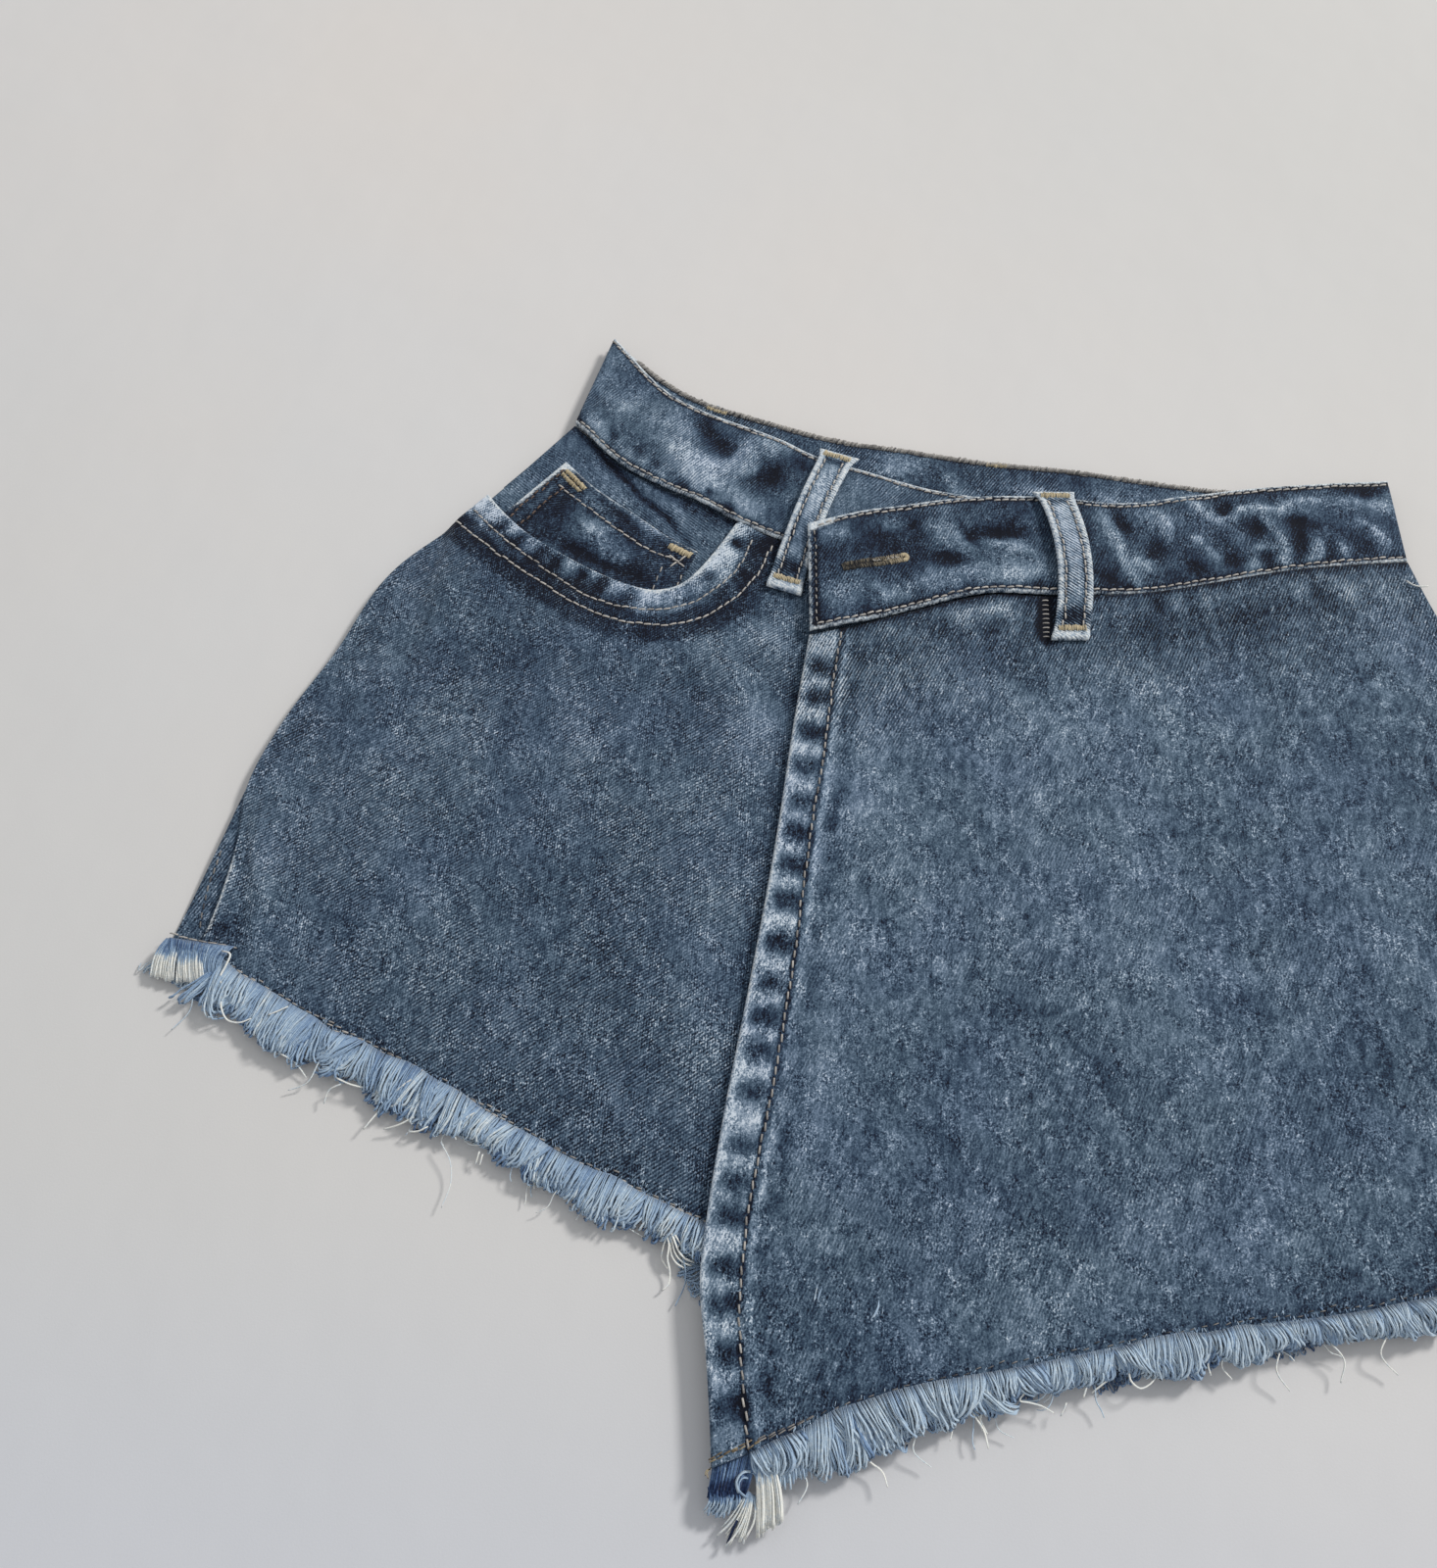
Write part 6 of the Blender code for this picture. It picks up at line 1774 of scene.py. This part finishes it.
for k in range(20):
    s = rng.uniform(16, wrap.hem.length - 4)
    p, h = wrap.hem.at(s), wrap.hem.heading(s)
    out = math.degrees(math.atan2(-h[0], h[1]))
    f = rng.uniform(3, 8)
    stray(t, p[0] + h[1] * f, p[1] - h[0] * f, 4.4, out + rng.normal(0, 38), rng.uniform(4, 12), rng.normal(0, 90),
          rng.uniform(.1, .6), rng.uniform(.72, 1.0), rng.uniform(.18, .27), rng.uniform(1.4, 4.0))
slubs(t, wrap.hem, wrap.over, 200, 14, wrap.hem.length - 2, .2, 2.6)
# fluff at the left side's end of the waistband
yarn(t, [(154.3, 342.6), (156.2, 341.0), (158.3, 340.5), (162.2, 341.4)], 6.2, 6.0, .99, .34)
for key, t in hem.items():
    ob = t.make(MAT["fray"])
    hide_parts(t.node)


# ------------------------------------------------------------------ floor, light, camera
def studio():
    import bmesh
    bm = bmesh.new()
    bmesh.ops.create_grid(bm, x_segments=2, y_segments=2, size=2.2)
    me = bpy.data.meshes.new("floor")
    bm.to_mesh(me)
    bm.free()
    floor = bpy.data.objects.new("floor", me)
    bpy.context.scene.collection.objects.link(floor)
    floor.location = (0, 0, -0.00005)
    m = Nodes("floor_cloth")
    broad = m.noise(m.place((.004, .004, .004)), 3, .55)
    soft = m.noise(m.place((.02, .013, .02), .4), 3, .5)
    weave = m.noise(m.place((1.6, 1.6, 1.6)), 2, .6)
    colour = m.blend(m.remap(broad, .35, .65), lin(221, 216, 211), lin(218, 216, 214))
    # painted shade: the floor's colour darkens toward the lower-left corner, most in the far corner, and toward the
    # upper right where the lamp lights it most
    shade = m.node("ShaderNodeSeparateXYZ")
    m.put(shade.inputs[0], m.place((.001, .001, .001), -math.pi / 4))
    colour = m.blend(m.remap(shade.outputs["X"], -.36, -.02, .90, 0, True), colour, lin(211, 210, 208))
    colour = m.blend(m.remap(shade.outputs["X"], -.60, -.30, 1, 0, True), colour, lin(192, 191, 190))
    deep = m.node("ShaderNodeSeparateXYZ")
    m.put(deep.inputs[0], m.place((.001, .001, .001)))
    colour = m.blend(m.remap(deep.outputs["Y"], -.24, -.12, 1, 0, True), colour, lin(209, 210, 214))
    colour = m.blend(m.remap(shade.outputs["X"], .05, .40, 0, .8, True), colour, lin(210, 208, 204))
    colour = m.blend(m.remap(weave, .3, .7, 0, .10), colour, lin(196, 194, 192))
    me.materials.append(m.finish(colour, .85, [(m.add(m.mul(weave, .1), m.mul(soft, 4.0)), .25)], specular=.2))
    world = bpy.data.worlds.new("studio")
    bpy.context.scene.world = world
    world.use_nodes = True
    world.node_tree.nodes["Background"].inputs[0].default_value = (0.93, 0.96, 1.0, 1)
    world.node_tree.nodes["Background"].inputs[1].default_value = 0.53

    def area(name, place, size, power, colour=(1, 1, 1), aim=(0, 0, 0)):
        d = bpy.data.lights.new(name, "AREA")
        d.shape, d.size, d.energy, d.color = "DISK", size, power, colour
        o = bpy.data.objects.new(name, d)
        bpy.context.scene.collection.objects.link(o)
        o.location = place
        o.rotation_euler = (Vector(aim) - Vector(place)).to_track_quat("-Z", "Y").to_euler()
    area("key", (3.28, 2.80, 3.12), 1.0, 206.0, (1.0, 0.985, 0.965))
    bpy.context.scene.view_settings.view_transform = "Standard"
    bpy.context.scene.view_settings.look = "None"

    phi, tilt = math.radians(7.25), math.radians(28.0)
    cam = bpy.data.cameras.new("camera")
    cam.lens, cam.sensor_width, cam.sensor_fit = 33.75, 36.0, "AUTO"
    cam.clip_start, cam.clip_end = 0.01, 20.0
    ob = bpy.data.objects.new("camera", cam)
    bpy.context.scene.collection.objects.link(ob)
    right = Vector((math.cos(phi), math.sin(phi), 0))
    ahead = Vector((-math.sin(phi) * math.sin(tilt), math.cos(phi) * math.sin(tilt), -math.cos(tilt)))
    above = right.cross(ahead)
    turn = Matrix((right, above, -ahead)).transposed().to_4x4()
    ob.matrix_world = Matrix.Translation(((-52.13 - MX) * MM, -MY * MM, 0.440)) @ turn
    bpy.context.scene.camera = ob


# ------------------------------------------------------------------ the cut of each piece: its flat size and area
def cut_of(c):
    """The smallest rectangle about the flat piece, and the piece's own area, in metres."""
    rim = np.concatenate([c.top.p, c.right.p[1:], c.hem.p[::-1][1:], c.left.p[::-1][1:]])
    x, y = rim.T
    area = abs(np.dot(x, np.roll(y, -1)) - np.dot(y, np.roll(x, -1))) / 2
    sizes = []
    for a in np.radians(np.arange(0, 90, 1.0)):
        u, v = x * math.cos(a) + y * math.sin(a), y * math.cos(a) - x * math.sin(a)
        sizes.append((np.ptp(u) * np.ptp(v), np.ptp(u), np.ptp(v)))
    _, wide, long = min(sizes)
    return (float(wide * MM), float(long * MM)), float(area * MM * MM)


cloths = {c.name: c for c in [leg, leg_left, wrap, band_right, band_left, band_back, facing, coin] + back_parts + list(loops.values())}
for name, c in cloths.items():
    flat, area = cut_of(c)
    ("denim_loop" if "loop" in name else "denim_band" if "waistband" in name
            else "denim_back" if c in back_parts else "denim_front")
for ob in list(bpy.data.objects):
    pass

studio()
